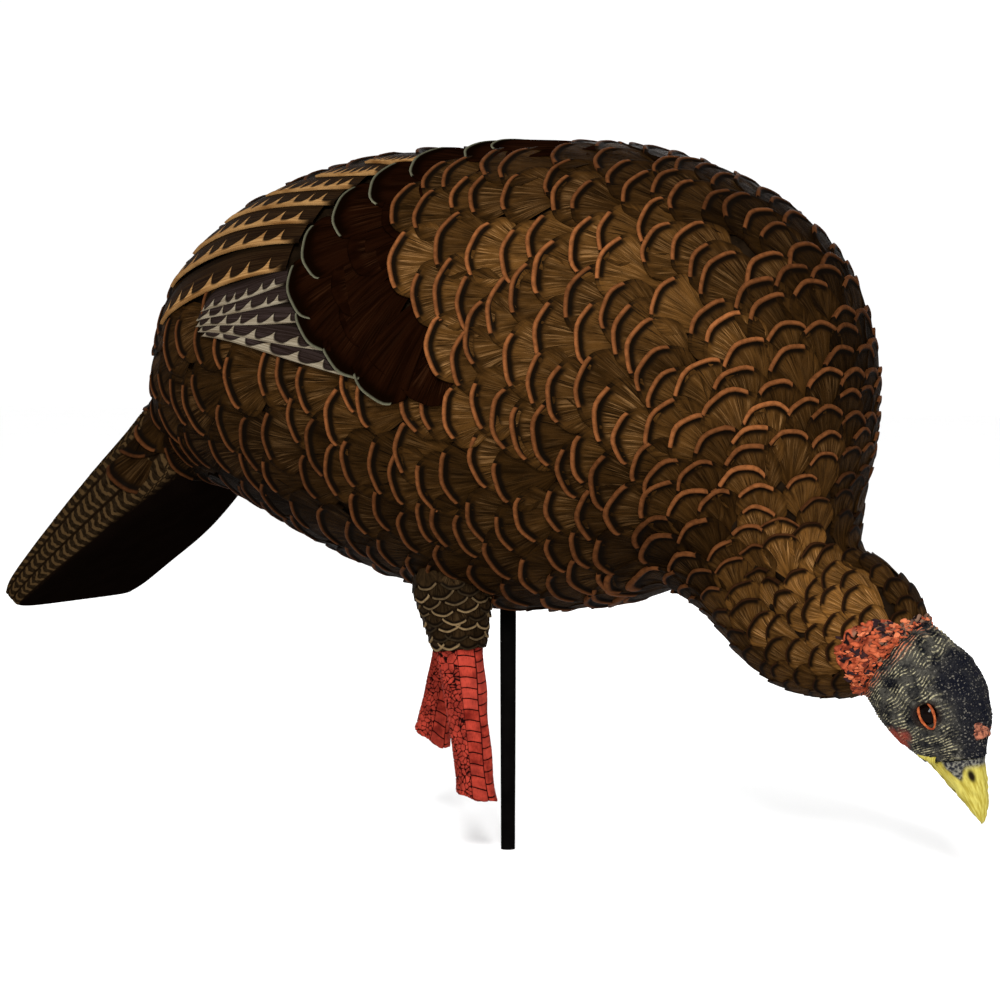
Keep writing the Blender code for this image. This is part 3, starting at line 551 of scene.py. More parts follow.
def plain_paint(
    name, colour, light, rough=0.5, scale=60.0, metallic=0.0, depth=0.0002, grain=700.0, specular=0.004
):
    """A moulded, painted or turned piece: uneven colour, handling marks and a fine grain."""
    p = Paint(name, rough, metallic, specular)
    cloud = p.noise(scale, 5.0)
    worn = p.noise(scale * 3.3, 2.0)
    body = p.mix(p.step(worn, 0.66, 0.74, (0.0, 0.5)), p.blend(cloud, colour, light), dimmed(light, 1.6))
    height = p.noise(grain, 2.0) + cloud * 0.5
    return p.finish(body, height, depth, worn, (rough - 0.08, rough + 0.12))


# ---- feather fields

ORANGE = (0.240, 0.082, 0.025)
BRONZE = (0.074, 0.032, 0.0070)
TAN_STREAK_AND_SHEEN = (0.230, 0.118, 0.042)


def scatter(rng, low_s, high_s, tries):
    """Places spread evenly over the body, closer along the feathers than across them."""
    s, a = rng.uniform(low_s, high_s, tries), rng.uniform(-pi, pi, tries)
    ps, pa = slopes(body_surface, s, a, 0.02)
    area = np.linalg.norm(np.cross(ps, pa), axis=1)
    keep = rng.random(tries) < area / area.max() * 3
    s, a, ps = s[keep], a[keep], unit(ps[keep])
    places = body_surface(s, a)
    across, pitch = table(ACROSS, s), table(PITCH, s)
    taken, chosen = np.empty((0, 3)), []
    for k in range(len(s)):
        gap = taken - places[k]
        ahead = gap @ ps[k]
        beside = (gap * gap).sum(1) - ahead * ahead
        if ((ahead / pitch[k]) ** 2 + beside / (0.86 * across[k]) ** 2 < 1).any():
            continue
        taken = np.vstack([taken, places[k]])
        chosen.append(k)
    return s[chosen], a[chosen], across[chosen], pitch[chosen]


def field(seed, low_s, high_s):
    """The body's round feathers, smaller towards the head, with painted shade below, behind and on top."""
    rng = np.random.default_rng(seed)
    s, a, w, d = scatter(rng, low_s, high_s, 16000)
    keep = s > np.interp(np.abs(a), [2.0, 2.4], [low_s, 0.15])
    s, a, w, d = s[keep], a[keep], w[keep], d[keep]
    n = len(s)
    jitter = rng.uniform(-1, 1, (n, 6))
    shape = np.interp(s, [6.5, 8.0, 9.5, 12, 16], [0.74, 0.86, 1.02, 0.95, 0.85])
    wide = 0.63 * w * (1 + 0.10 * jitter[:, 0])
    degrees = np.degrees(np.abs(a))
    tone = 0.90 + 0.35 * jitter[:, 1]
    # Painted light and shade by angle and by section, over each feather's random tone.
    tone *= table(LIGHT_AND_SHADE_ROUND, degrees)
    tone *= table(LIGHT_AND_SHADE_ALONG, s)
    scale = d / 0.0118
    lifted = 0.0005 * rng.random(n)
    rim = np.interp(s, [-1, 0.5, 10.8, 12.2], [0.55, 1.0, 1.0, 0.10])
    return {
        "s": s, "a": a, "wide": wide, "long": wide * shape * (1 + 0.10 * jitter[:, 4]),
        "back": 2.5 * d, "turn": np.radians(8.0 * jitter[:, 5]),
        "low": -0.0005 + lifted,
        "high": 0.0043 * scale + lifted,
        "relief": 0.0012 * scale**0.5,
        "reach": np.radians(46 + 9 * jitter[:, 2]),
        "rim": rim * (0.85 + 0.15 * jitter[:, 3]),
        "start": np.interp(s, [8.0, 10.5, 12], [0.945, 0.930, 0.965]),
        "tone": tone.clip(0.05, 3.4),
        "rnd": rng.random(n),
    }


def kept(f, mask):
    return {k: v[mask] for k, v in f.items()}


def filled(n, **given):
    """Feather properties, with single numbers made into arrays of n."""
    return {k: v if np.ndim(v) else np.full(n, float(v)) for k, v in given.items()}


def under_wing(f):
    degrees = np.abs(np.degrees(f["a"]))
    front, rear = table(SCAPULAR_EDGE, degrees), table(WING_REAR, degrees)
    return (degrees > 14) & (degrees < 95) & (f["s"] < front + 0.12) & (f["s"] > rear + 0.25)


def lift_scapulars(f):
    """The feathers over the wing's front ride up on it."""
    degrees = np.abs(np.degrees(f["a"]))
    ahead = f["s"] - table(SCAPULAR_EDGE, degrees)
    rise = np.clip(1 - ahead / 1.5, 0, 1) * (ahead > 0)
    rise = rise * np.interp(degrees, [10, 18, 92, 104], [0.3, 1, 1, 0])
    f["low"] = f["low"] + 0.0035 * rise
    f["high"] = f["high"] + 0.0044 * rise
    return f


def make_body_feathers():
    paint = feather_paint("body_feathers", BRONZE, TAN_STREAK_AND_SHEEN, ORANGE)
    f = field(seed=3, low_s=-1.15, high_s=15.70)
    f = lift_scapulars(kept(f, ~under_wing(f)))
    f = kept(f, np.argsort(f["s"]))
    neck = f["s"] > NECK_START
    feather_pieces("breast_feathers", body_surface, kept(f, ~neck), paint, "feather_brown")
    feather_pieces("neck_feathers", body_surface, kept(f, neck), paint, "feather_brown")


def single_feathers(marks, side, **given):
    """Feathers whose tips lie at the marks (section, degrees)."""
    s, a = np.array([m[0] for m in marks]), np.radians([m[1] for m in marks]) * side
    ps, _ = slopes(body_surface, s, a, 0.02)
    s, a = shift(body_surface, s, a, unit(ps) * given["long"])
    return filled(len(s), s=s, a=a, rnd=np.linspace(0.07, 0.93, len(s)), **given)


SKIRT = 0.0026  # how far a quill's lower edge turns down


def strip_feathers(name, marks, side, width, high, low, mat, replaced=()):
    """Quills from root to tip, their lower edges on the marks and each one lying over the next below."""
    points, faces, values = [], [], {"u": [], "v": [], "rnd": []}
    rows, columns = 44, 12
    for number, (root, tip) in enumerate(marks):
        u = np.linspace(0, 1, rows)
        s = root[0] + (tip[0] - root[0]) * u
        a = np.radians(root[1] + (tip[1] - root[1]) * u + 2.2 * np.sin(pi * u)) * side
        line = body_surface(s, a)
        run = unit(np.gradient(line, axis=0))
        up = np.cross(run, normal_at(body_surface, s, a)) * side
        taper = np.sqrt(np.clip(1 - (np.clip(u - 0.72, 0, 1) / 0.28) ** 2, 0, 1))
        taper = taper * np.interp(u, [0, 0.3], [0.85, 1])
        for j in range(columns + 1):
            v = max(j - 1, 0) / (columns - 1)
            sv, av = shift(body_surface, s, a, up * (width * taper * v)[:, None])
            ridge = 0.0006 * np.exp(-(((v - 0.06) / 0.06) ** 2))
            quill = 0.0004 * np.sin(pi * min(v * 1.1, 1.0))
            h = high + (low - high) * v + ridge + quill - 0.00008 * number
            h = h + (0 if j else -SKIRT)
            h = h * np.interp(u, [0, 0.15, 0.9, 1.0], [0.8, 1, 1, 0.86])
            points.append(body_surface(sv, av) + normal_at(body_surface, sv, av) * h[:, None])
            values["u"].append(u)
            values["v"].append(np.full(rows, v))
            values["rnd"].append(np.full(rows, (number * 0.37 + 0.11) % 1))
        faces.append(grid_faces(columns + 1, rows, start=number * (columns + 1) * rows))
    values = {k: np.concatenate(v) for k, v in values.items()}
    points, faces = np.concatenate(points), np.concatenate(faces)
    make_mesh(name, points, faces, values, mat, "decoy", "wing_brown", replaced)


def make_wings():
    flight = comb_paint(
        "flight_quills", (0.007, 0.0028, 0.0010), (0.024, 0.012, 0.0045),
        (0.150, 0.066, 0.018), (0.36, 0.20, 0.075), 8.0,
    )
    grey = comb_paint(
        "secondary_quills", (0.009, 0.0050, 0.0035), (0.030, 0.020, 0.018),
        (0.12, 0.090, 0.055), (0.27, 0.23, 0.165), 7.0,
    )
    dark = feather_paint(
        "coverts", (0.0085, 0.0024, 0.0008), (0.044, 0.017, 0.007), (0.26, 0.25, 0.16),
        (0.0020, 0.0007, 0.0002), 0.35, 0.5, 0.0,
    )
    for name, side in SIDES:
        wing = f"wing_{name}"
        strip_feathers(f"{wing}_secondaries", SECONDARY[::-1], side, 0.0150, 0.0062, 0.0044, grey)
        strip_feathers(f"{wing}_quills", FLIGHT[::-1], side, 0.0250, 0.0068, 0.0040, flight, (wing,))
        tips = single_feathers(
            COVERT_TIPS, side, wide=0.0235, long=0.0165, back=0.085, turn=0.0, low=0.0034, high=0.0088,
            relief=0.0005, reach=radians(64), rim=1.0, start=0.986, tone=1.0,
        )
        tips["turn"] = -side * np.radians([mark[2] for mark in COVERT_TIPS])
        tips["rnd"] = (tips["rnd"] * 3.7) % 1
        tips["reach"][-3:] = radians(46)
        # A row without rims lies in front of the tips, its roots under the shoulder's feathers.
        front = kept(tips, slice(None))
        front["s"], front["rim"], front["rnd"] = tips["s"] + 0.42, 0 * tips["rim"], (tips["rnd"] * 5.1) % 1
        front["low"], front["high"] = tips["low"] - 0.0030, tips["high"] - 0.0012
        front["back"], front["start"] = tips["back"] * 0.5, tips["start"] + 0.25
        front = kept(front, slice(3, None))
        both = {key: np.concatenate([tips[key], front[key]]) for key in tips}
        feather_pieces(f"{wing}_coverts", body_surface, both, dark, "wing_brown")


def make_thighs():
    paint = feather_paint(
        "thigh_feathers", (0.024, 0.013, 0.005), (0.055, 0.033, 0.014), (0.19, 0.125, 0.060)
    )
    rings, count = 8, 9
    for number, (name, side, hip, ankle, hip_r, _, thigh_r) in enumerate(LEGS):
        rng = np.random.default_rng(60 + number)
        places = []
        for row in range(rings):
            s = 0.009 + row * 0.0058
            for k in range(count):
                places.append((s + rng.uniform(-0.0012, 0.0012), 2 * pi * (k + 0.5 * (row % 2)) / count))
        s, a = np.array(places[::-1]).T
        n = len(s)
        f = filled(
            n, s=s, a=a + rng.uniform(-0.06, 0.06, n), wide=0.0092, long=0.0085, back=0.011,
            turn=rng.uniform(-0.2, 0.2, n), low=0.0006, high=0.0034, relief=0.0005, reach=0.95,
            rim=rng.choice([0.1, 0.5, 1.0], n), start=0.925, tone=rng.uniform(0.6, 1.1, n), rnd=rng.random(n),
        )
        surface = thigh_surface(side, hip, ankle, hip_r, thigh_r)
        feather_pieces(f"thigh_feathers_{name}", surface, f, paint, "thigh_brown", 0.001)


# ---- tail


def make_tail():
    """The folded fan: lanes of barred quills on top and down the sides, smooth black below."""
    around, along = 420, 260
    t = np.linspace(0, len(TAIL) - 1, along)
    # Angles spaced by the outline's own length, so that the square corners stay sharp.
    dense = np.linspace(0, 2 * pi, 4001)
    ring = tail_surface(np.full(4001, 4.0), dense)
    length = np.concatenate([[0], np.cumsum(np.linalg.norm(np.diff(ring, axis=0), axis=1))])
    w = np.linspace(0, length[-1], around, endpoint=False)
    tt, aa = grid(t, np.interp(w, length, dense))
    points = tail_surface(tt, aa)
    outward = np.stack([0 * tt, np.sign(points[:, 1]), 0 * tt], 1)
    rows = spline(TAIL_ROWS, tt)
    up = np.stack([-np.sin(np.radians(rows[:, 2])), 0 * tt, np.cos(np.radians(rows[:, 2]))], 1)
    height = ((points - np.stack([rows[:, 0], 0 * tt, rows[:, 1]], 1)) * up).sum(1) / rows[:, 4]
    across = np.abs(points[:, 1]) / rows[:, 3]
    # A lane's place: across the top first, then down the side.
    at_side = across > 0.93
    lane = np.where(at_side, 7 + np.clip((1 - height) / 2, 0, 1) * 3.4, np.clip(across, 0, 0.93) * 7)
    edge = np.abs(lane - np.floor(lane) - 0.5) * 2
    under = np.clip((-height - 0.55) / 0.12, 0, 1) * np.clip((0.985 - across) / 0.02, 0, 1)
    relief = (0.0007 * (lane - np.floor(lane)) - 0.0007 * np.clip((edge - 0.82) / 0.18, 0, 1)) * (1 - under)
    direction = np.where(at_side[:, None], outward, up * np.sign(height)[:, None])
    points = points + direction * relief[:, None]
    steps = np.linalg.norm(np.diff(TAIL_ROWS[:, :2], axis=0), axis=1)
    u = np.interp(tt, np.arange(len(TAIL)), np.concatenate([[0], np.cumsum(steps)]))
    # The tip is closed by a few inset rings.
    last = points[-around:]
    end = last.mean(0)
    insets = (0.9, 0.5, 0.05)
    rings = [end + (last - end) * k + np.array([-0.0007, 0, -0.0006]) * (1 - k) for k in insets]
    points = np.concatenate([points, *rings])
    faces = grid_faces(along + len(insets), around, closed=True)
    values = {"u": u, "lane": lane, "edge": edge, "under": under}
    values = {k: np.concatenate([v, np.tile(v[-around:], len(insets))]) for k, v in values.items()}
    p = Paint("tail_quills", specular=0.0)
    u, lane, edge, under = p.attributes("u lane edge under")
    lane_number = p.math("FLOOR", lane)
    wobble = p.drawn(u * 160.0, lane * 3.0, detail=3.0)
    slant = edge * 0.55 + wobble * 0.8
    phase = u * 165.0 + lane_number * 0.47 + slant
    wave = p.math("ABSOLUTE", p.math("FRACT", phase) * 2.0 - 1.0)
    barb = p.drawn(u * 900.0, lane * 4.0, detail=3.0)
    brown = p.blend(barb, (0.0045, 0.0026, 0.0012), (0.014, 0.0085, 0.0040))
    tan_bar = p.mix(barb, (0.030, 0.017, 0.0065), (0.062, 0.036, 0.0145))
    bar = p.step(wave, 0.52, 0.72)
    colour = p.mix(bar * p.step(edge, 0.95, 0.8), brown, tan_bar)
    colour = p.mix(p.step(edge, 0.8, 0.97) * 0.85, colour, (0.004, 0.002, 0.001))
    smooth = p.noise(45.0, 4.0)
    black = p.mix(smooth, (0.0012, 0.0006, 0.0004), (0.0032, 0.0018, 0.0012))
    colour = p.mix(under, colour, black)
    height = barb * 0.6 + bar * 0.25
    height = p.mix(under, height, smooth * 0.3)
    mat = p.finish(colour, height, 0.0005, smooth, (0.38, 0.55))
    make_mesh("tail_quills", points, faces, values, mat, "tail", "tail_brown", ("tail_fan",))


# ---- head


def capped(points, columns, *ends):
    """A tube's points and faces, with a fan over its first ring (0) or its last one (-1)."""
    rows = len(points) // columns
    faces = grid_faces(rows, columns, closed=True).tolist()
    for end in ends:
        start = end % rows * columns
        centre = len(points)
        points = np.concatenate([points, points[start : start + columns].mean(0)[None]])
        for j in range(columns):
            edge = [start + j, start + (j + 1) % columns]
            faces.append([*(edge if end else edge[::-1]), centre])
    return points, faces


def cell_distance(points, seeds):
    """First and second distance from each point to the seeds."""
    first, second = np.empty(len(points)), np.empty(len(points))
    for k in range(0, len(points), 4000):
        d = np.linalg.norm(points[k : k + 4000, None] - seeds[None], axis=2)
        d.partition(1, axis=1)
        first[k : k + 4000], second[k : k + 4000] = d[:, 0], d[:, 1]
    return first, second


def waves(points, rng, count, length):
    """Smooth noise as a sum of waves in random directions."""
    total = np.zeros(len(points))
    for _ in range(count):
        direction = rng.normal(size=3)
        direction *= 2 * pi / (length * rng.uniform(0.6, 1.6)) / np.linalg.norm(direction)
        total += np.sin(points @ direction + rng.uniform(0, 2 * pi))
    return total / np.sqrt(count / 2)


def eye_axis(side):
    axis = np.array([0.10, side, 0.05])
    return axis / np.linalg.norm(axis)


def make_head():
    rng = np.random.default_rng(17)
    rows, columns = 340, 280
    tt, aa = grid(np.linspace(0.03, len(HEAD) - 1, rows), circle(columns))
    points, normal = with_outward(head_surface, tt, aa)
    low, high = points.min(0), points.max(0)
    seeds = low + (high - low) * rng.random((26000, 3))
    shell, _ = cell_distance(seeds, points[::23])
    seeds = seeds[shell < 0.0016]
    first, second = cell_distance(points, seeds)
    pebble = np.clip((second - first) / 0.0006, 0, 1)
    bend = waves(points, rng, 10, 0.016)
    fold = waves(points, rng, 12, 0.006)
    wrinkle = np.sin(tt * 46 + 2.3 * bend + 0.45 * fold + 2.5 * np.cos(aa)) * 0.5 + 0.5
    wrinkle = wrinkle * np.clip(0.80 + 0.35 * waves(points, rng, 10, 0.009), 0, 1)
    crown = np.clip(np.cos(aa) * 1.6 - 0.1, 0, 1) * np.clip((tt - 0.8) / 1.1, 0, 1)
    back = np.clip((2.6 - tt) / 1.0, 0, 1)
    rel = np.stack([points[:, 0], np.abs(points[:, 1]), points[:, 2]], 1) - np.array(EYE_AT)
    near_eye = np.linalg.norm(rel, axis=1)
    axis = eye_axis(1)
    beside = np.linalg.norm(rel - (rel @ axis)[:, None] * axis, axis=1)
    calm = np.clip((near_eye - 0.008) / 0.005, 0, 1)
    amount = 0.0008 * wrinkle * (1 - 0.8 * crown) * (0.35 + 0.65 * back)
    amount = amount + 0.0005 * pebble * (0.45 + 0.75 * crown) + 0.0005 * bend + 0.0002 * fold
    socket = -0.0010 * np.exp(-(((beside - 0.0115) / 0.0025) ** 2))
    socket = socket - 0.0045 * np.clip((0.0078 - beside) / 0.0025, 0, 1)
    points = points + normal * (amount * calm + socket)[:, None]
    chin = np.clip(1 - np.abs(tt - 3.0) / 1.0, 0, 1) * np.clip(-np.cos(aa) * 2.2 - 0.9, 0, 1)
    values = {
        "wrinkle": wrinkle, "crown": crown, "pebble": pebble, "t": tt, "chin": chin, "eye": near_eye * 100
    }
    p = Paint("head_skin")
    wrinkle, crown, pebble, t_at, chin, eye_at = p.attributes("wrinkle crown pebble t chin eye")
    patch = p.noise(95.0, 5.0, rough=0.65)
    grey = p.mix(p.step(patch, 0.35, 0.65), (0.0055, 0.0060, 0.0085), (0.060, 0.056, 0.046))
    grey = p.mix(p.step(crown, 0.35, 0.95) * 0.85, grey, (0.006, 0.0066, 0.0115))
    cream = p.mix(p.noise(300.0), (0.32, 0.28, 0.155), (0.64, 0.58, 0.37))
    broken = p.step(p.noise(620.0, 4.0), 0.40, 0.58)
    lines = p.step(wrinkle, 0.45, 0.88) * p.step(crown, 0.75, 0.25)
    lines = lines * p.step(patch, 0.34, 0.54) * broken * 0.95
    colour = p.mix(lines, grey, cream)
    few = p.step(p.noise(700.0), 0.53, 0.62)
    dots = p.step(pebble, 0.6, 1.0) * few * p.step(crown, 0.0, 0.5, (0.25, 0.7))
    colour = p.mix(dots, colour, (0.17, 0.155, 0.125))
    colour = p.mix(p.step(pebble, 0.22, 0.0) * 0.9, colour, (0.004, 0.004, 0.006))
    ear = p.noise(60.0)
    colour = p.mix(p.step(chin, 0.15, 0.6) * p.step(ear, 0.35, 0.55), colour, (0.24, 0.045, 0.028))
    nape = p.step(t_at, 0.75, 0.15) * p.step(wrinkle, 0.35, 0.75) * p.step(patch, 0.4, 0.56)
    colour = p.mix(nape, colour, (0.50, 0.115, 0.050))
    ring = p.step(eye_at, 1.25, 0.9) * 0.9
    colour = p.mix(ring, colour, (0.016, 0.010, 0.009))
    height = pebble + p.noise(1200.0, 2.0) * 0.35
    mat = p.finish(colour, height, 0.0006, patch, (0.42, 0.62))
    points, faces = capped(points, columns, -1, 0)
    values = {k: np.append(v, [0.0, 0.0]) for k, v in values.items()}
    values["eye"][-2:] = 9.0
    make_mesh("head_skin", points, faces, values, mat, "head", "head_grey", ("head_shell",))


def blob_cloud(name, centres, radii, mat, rng, lumps, replaced=()):
    """Knobs of skin on the head: lumpy balls, all in one piece."""
    rows, columns = 14, 20
    la, lo = grid(np.linspace(0.02, pi - 0.02, rows), circle(columns))
    ball = np.stack([np.sin(la) * np.cos(lo), np.sin(la) * np.sin(lo), np.cos(la)], 1)
    points, faces, values = [], [], []
    for k, (centre, radius) in enumerate(zip(centres, radii)):
        lump = 1 + lumps * waves(ball, rng, 5, 1.4)
        points.append(centre + ball * lump[:, None] * radius)
        faces.append(grid_faces(rows, columns, closed=True, start=k * rows * columns))
        values.append(np.full(rows * columns, rng.random()))
    points, faces = np.concatenate(points), np.concatenate(faces)
    values = {"rnd": np.concatenate(values)}
    make_mesh(name, points, faces, values, mat, "head", "snood_red", replaced)


def collar_surface(t, a):
    """The neck's last section below 0 and the head's first above it, with the way out from the axis."""
    on_head, on_neck = np.maximum(t, 0), NECK_END + np.minimum(t, 0)

    def skin(a):
        return np.where((t > 0)[:, None], head_surface(on_head, a), body_surface(on_neck, a))

    return skin(a), unit(skin(a) - (skin(0 * a) + skin(0 * a + pi)) / 2)


COLLAR_SIDE, COLLAR_SPREAD = radians(84), radians(34)


def collar_start(a):
    """Where the bare skin begins: far back on both sides of the neck, and at the joint above and below."""
    off = (np.abs(wrapped(a)) - COLLAR_SIDE) / COLLAR_SPREAD
    return -0.22 - 1.25 * np.exp(-off * off)


def make_neck_skin():
    """Loose wrinkled skin on the head that hides the joint to the neck."""
    rng = np.random.default_rng(31)
    rows, columns = 90, 240
    vv, aa = grid(np.linspace(0, 1, rows), circle(columns))
    ragged = 0.07 * np.sin(9 * aa + 1.0) + 0.05 * np.sin(17 * aa)
    tt = collar_start(aa) + ragged + vv * (0.16 - collar_start(aa) - ragged)
    points, away = collar_surface(tt, aa)
    bend = waves(points, rng, 12, 0.010)
    fold = np.sin(tt * 34 + 2.2 * bend) * 0.5 + 0.5
    body = np.interp(vv, [0, 0.10, 0.6, 0.88, 1.0], [0.0008, 0.0030, 0.0026, 0.0012, -0.0010])
    points = points + away * (body + 0.0008 * fold + 0.0004 * bend)[:, None]
    p = Paint("neck_skin")
    patch = p.noise(170.0, 4.0)
    below = p.attribute("below")
    red = p.blend(patch, (0.09, 0.014, 0.007), (0.46, 0.095, 0.038))
    grey = p.mix(p.step(patch, 0.35, 0.65), (0.010, 0.009, 0.012), (0.20, 0.110, 0.070))
    colour = p.mix(p.step(below, 0.22, 0.50), grey, red)
    colour = p.mix(p.step(p.attribute("fold"), 0.42, 0.12), colour, (0.008, 0.005, 0.005))
    mat = p.finish(colour, patch, 0.0004, patch, (0.40, 0.58))
    values = {"fold": fold, "below": np.clip(0.55 - 0.60 * np.cos(aa) + 0.12 * bend, 0, 1)}
    faces = grid_faces(rows, columns, closed=True)
    make_mesh("neck_skin", points, faces, values, mat, "head", "snood_red")


def make_caruncles():
    rng = np.random.default_rng(23)
    p = Paint("caruncles")
    rnd = p.attribute("rnd")
    patch = p.noise(210.0, 4.0)
    colour = p.blend(patch, (0.16, 0.022, 0.010), (0.50, 0.105, 0.042))
    colour = p.mix(p.step(rnd, 0.60, 1.0, (0.0, 0.8)), colour, (0.66, 0.20, 0.090))
    colour = p.mix(p.step(rnd, 0.28, 0.12), colour, (0.022, 0.012, 0.014))
    mat = p.finish(colour, p.noise(700.0), 0.0004, patch, (0.36, 0.55))
    count = 460
    sides = rng.choice([-1, 1], count)
    a = sides * COLLAR_SIDE + rng.normal(0, COLLAR_SPREAD, count)
    low = collar_start(a)
    t = low + (0.12 - low) * rng.beta(1.1, 1.5, count)
    points, away = collar_surface(t, a)
    points = points + away * 0.0016
    radii = rng.uniform(0.0009, 0.0026, count) * np.interp(t, [-1.5, -0.3, 0.12], [1.35, 1.0, 0.5])
    stretch = np.array([1.35, 0.85, 0.75]) * rng.uniform(0.8, 1.2, (count, 3))
    blob_cloud("caruncles", points, radii[:, None] * stretch, mat, rng, 0.26)


def make_mouth_corners(mat):
    """The yellow gape runs on from the beak along the edge of the face."""
    rows, columns = 40, 16
    u = np.linspace(0, 1, rows)
    uu, gg = grid(u, circle(columns))
    dark = 0.25 * (0.5 + 0.5 * np.sin(gg)) * uu
    values = {"t": 1.5 + 0 * uu, "a": uu * 3, "top": 0 * uu, "limit": 0 * uu, "dark": dark}
    faces = grid_faces(rows, columns, closed=True)
    for name, side in SIDES:
        line, out = with_outward(head_surface, 4.98 - 0.80 * u, side * np.radians(112 + 34 * u))
        beside = np.cross(out, unit(np.gradient(line, axis=0)))
        size = 0.0026 * (1 - u) ** 0.5 + 0.0005
        line, out, beside, size = (np.repeat(v, columns, axis=0) for v in (line, out, beside, size[:, None]))
        points = line + size * (0.75 * np.cos(gg)[:, None] * out + np.sin(gg)[:, None] * beside)
        make_mesh(f"mouth_corner_{name}", points, faces, values, mat, "head", "beak_yellow")


def make_beak():
    rng = np.random.default_rng(5)
    (ax, az), (bx, bz) = GAPE
    run = np.array([bx - ax, 0.0, bz - az])
    run /= np.linalg.norm(run)
    across = np.array([-run[2], 0.0, run[0]])
    p = Paint("horn")
    t, a, top, limit, dark = p.attributes("t a top limit dark")
    streak = p.drawn(a * 5.0, t * 1.2)
    colour = p.mix(p.step(streak, 0.35, 0.65), (0.34, 0.27, 0.038), (0.53, 0.46, 0.105))
    colour = p.mix(p.step(dark, 0.3, 0.9), colour, (0.012, 0.008, 0.004))
    base = p.step(t - limit, 0.16, -0.14) * top
    grey = p.mix(p.step(p.noise(520.0, 4.0), 0.42, 0.62), (0.018, 0.019, 0.023), (0.19, 0.18, 0.145))
    colour = p.mix(base, colour, grey)
    colour = p.mix(p.step(t, 3.2, 4.0) * 0.4, colour, (0.3, 0.27, 0.1))
    mat = p.finish(colour, streak, 0.0003, streak, (0.30, 0.48))
    rows, columns = 120, 160
    tt, aa = grid(np.linspace(0, len(BEAK) - 1, rows), circle(columns))
    shape, normal = with_outward(beak_surface, tt, aa)
    turned = np.abs(wrapped(aa))
    level = (shape - np.array([ax, 0.0, az])) @ across
    nostril = np.exp(-(((tt - 0.80) / 0.36) ** 2) - (((turned - radians(54)) / 0.24) ** 2))
    line = np.exp(-((level / 0.0007) ** 2)) * np.clip((4.0 - tt) / 0.4, 0, 1)
    height = 0.00025 * waves(shape, rng, 8, 0.006) - 0.0010 * nostril - 0.0007 * line
    top = np.clip((radians(110) - turned) / 0.14, 0, 1)
    limit = 0.42 + 0.55 * np.exp(-(((turned - radians(86)) / 0.26) ** 2))
    values = {"t": tt, "a": aa, "top": top, "limit": limit, "dark": np.maximum(nostril, 0.75 * line)}
    values = {k: np.append(v, 0.0) for k, v in values.items()}
    points, faces = capped(shape + normal * height[:, None], columns, 0)
    make_mesh("beak", points, faces, values, mat, "head", "beak_yellow", ("beak_upper", "beak_lower"))
    make_mouth_corners(mat)


def make_eyes():
    eye = Paint("eye_gloss", 0.10, 0.0, 0.03)
    cloud = eye.noise(220.0)
    eye.finish(eye.mix(cloud, (0.0008, 0.0005, 0.0005), (0.0055, 0.0018, 0.0010)), cloud, 0.00002)
    p = Paint("eyelid")
    patch = p.noise(330.0, 4.0)
    colour = p.mix(p.step(patch, 0.35, 0.65), (0.20, 0.036, 0.013), (0.42, 0.110, 0.036))
    lid = p.finish(colour, patch, 0.0003, patch, (0.34, 0.52))
    around, tube = 72, 14
    g, b = grid(circle(around), circle(tube))
    for name, right in SIDES:
        side = -right
        paint_node(f"eye_{name}", eye.mat)
        centre = np.array([EYE_AT[0], side * EYE_AT[1], EYE_AT[2]])
        axis = eye_axis(side)
        # The slit's long way follows the face, from the crown down to the beak.
        long = np.array([0.42, 0.0, -1.0])
        long -= axis * (long @ axis)
        long /= np.linalg.norm(long)
        short = np.cross(axis, long)
        thick = 0.00062 + 0.00026 * np.abs(np.sin(g)) + 0.00009 * np.sin(9 * g)
        lx, ly = 0.0096 * np.cos(g), 0.0045 * np.sin(g) * (0.70 + 0.30 * np.abs(np.sin(g)))
        out = 0.0046 - 0.0017 * (np.abs(np.cos(g)) ** 2)
        ring = centre + lx[:, None] * long + ly[:, None] * short + out[:, None] * axis
        away = unit(np.cos(g)[:, None] * long + 1.3 * np.sin(g)[:, None] * short)
        points = ring + (thick * np.cos(b))[:, None] * away + (thick * np.sin(b))[:, None] * axis
        faces = grid_faces(around, tube, closed=True, looped=True)
        make_mesh(f"eyelid_{name}", points, faces, {}, lid, "head", "snood_red")


def make_snood():
    rng = np.random.default_rng(9)
    p = Paint("snood_skin")
    patch = p.noise(420.0, 4.0)
    colour = p.mix(p.step(patch, 0.35, 0.65), (0.060, 0.022, 0.018), (0.42, 0.150, 0.085))
    mat = p.finish(colour, patch, 0.0004, patch, (0.36, 0.55))
    # Four knobs beside the root, in millimetres.
    knobs = ((0.6, -9.5, 0.5), (2.0, -4.5, -1.5), (1.0, -8.0, -4.5), (1.8, 1.5, -2.5))
    places = np.array([SNOOD_AT[0], 0.0, SNOOD_AT[1]]) + np.array(knobs) / 1000
    radii = [np.array([0.0044, 0.0048, 0.0038]) * k for k in (0.75, 0.90, 0.80, 0.85)]
    blob_cloud("snood_skin", places, radii, mat, rng, 0.20, ("snood",))


# ---- legs


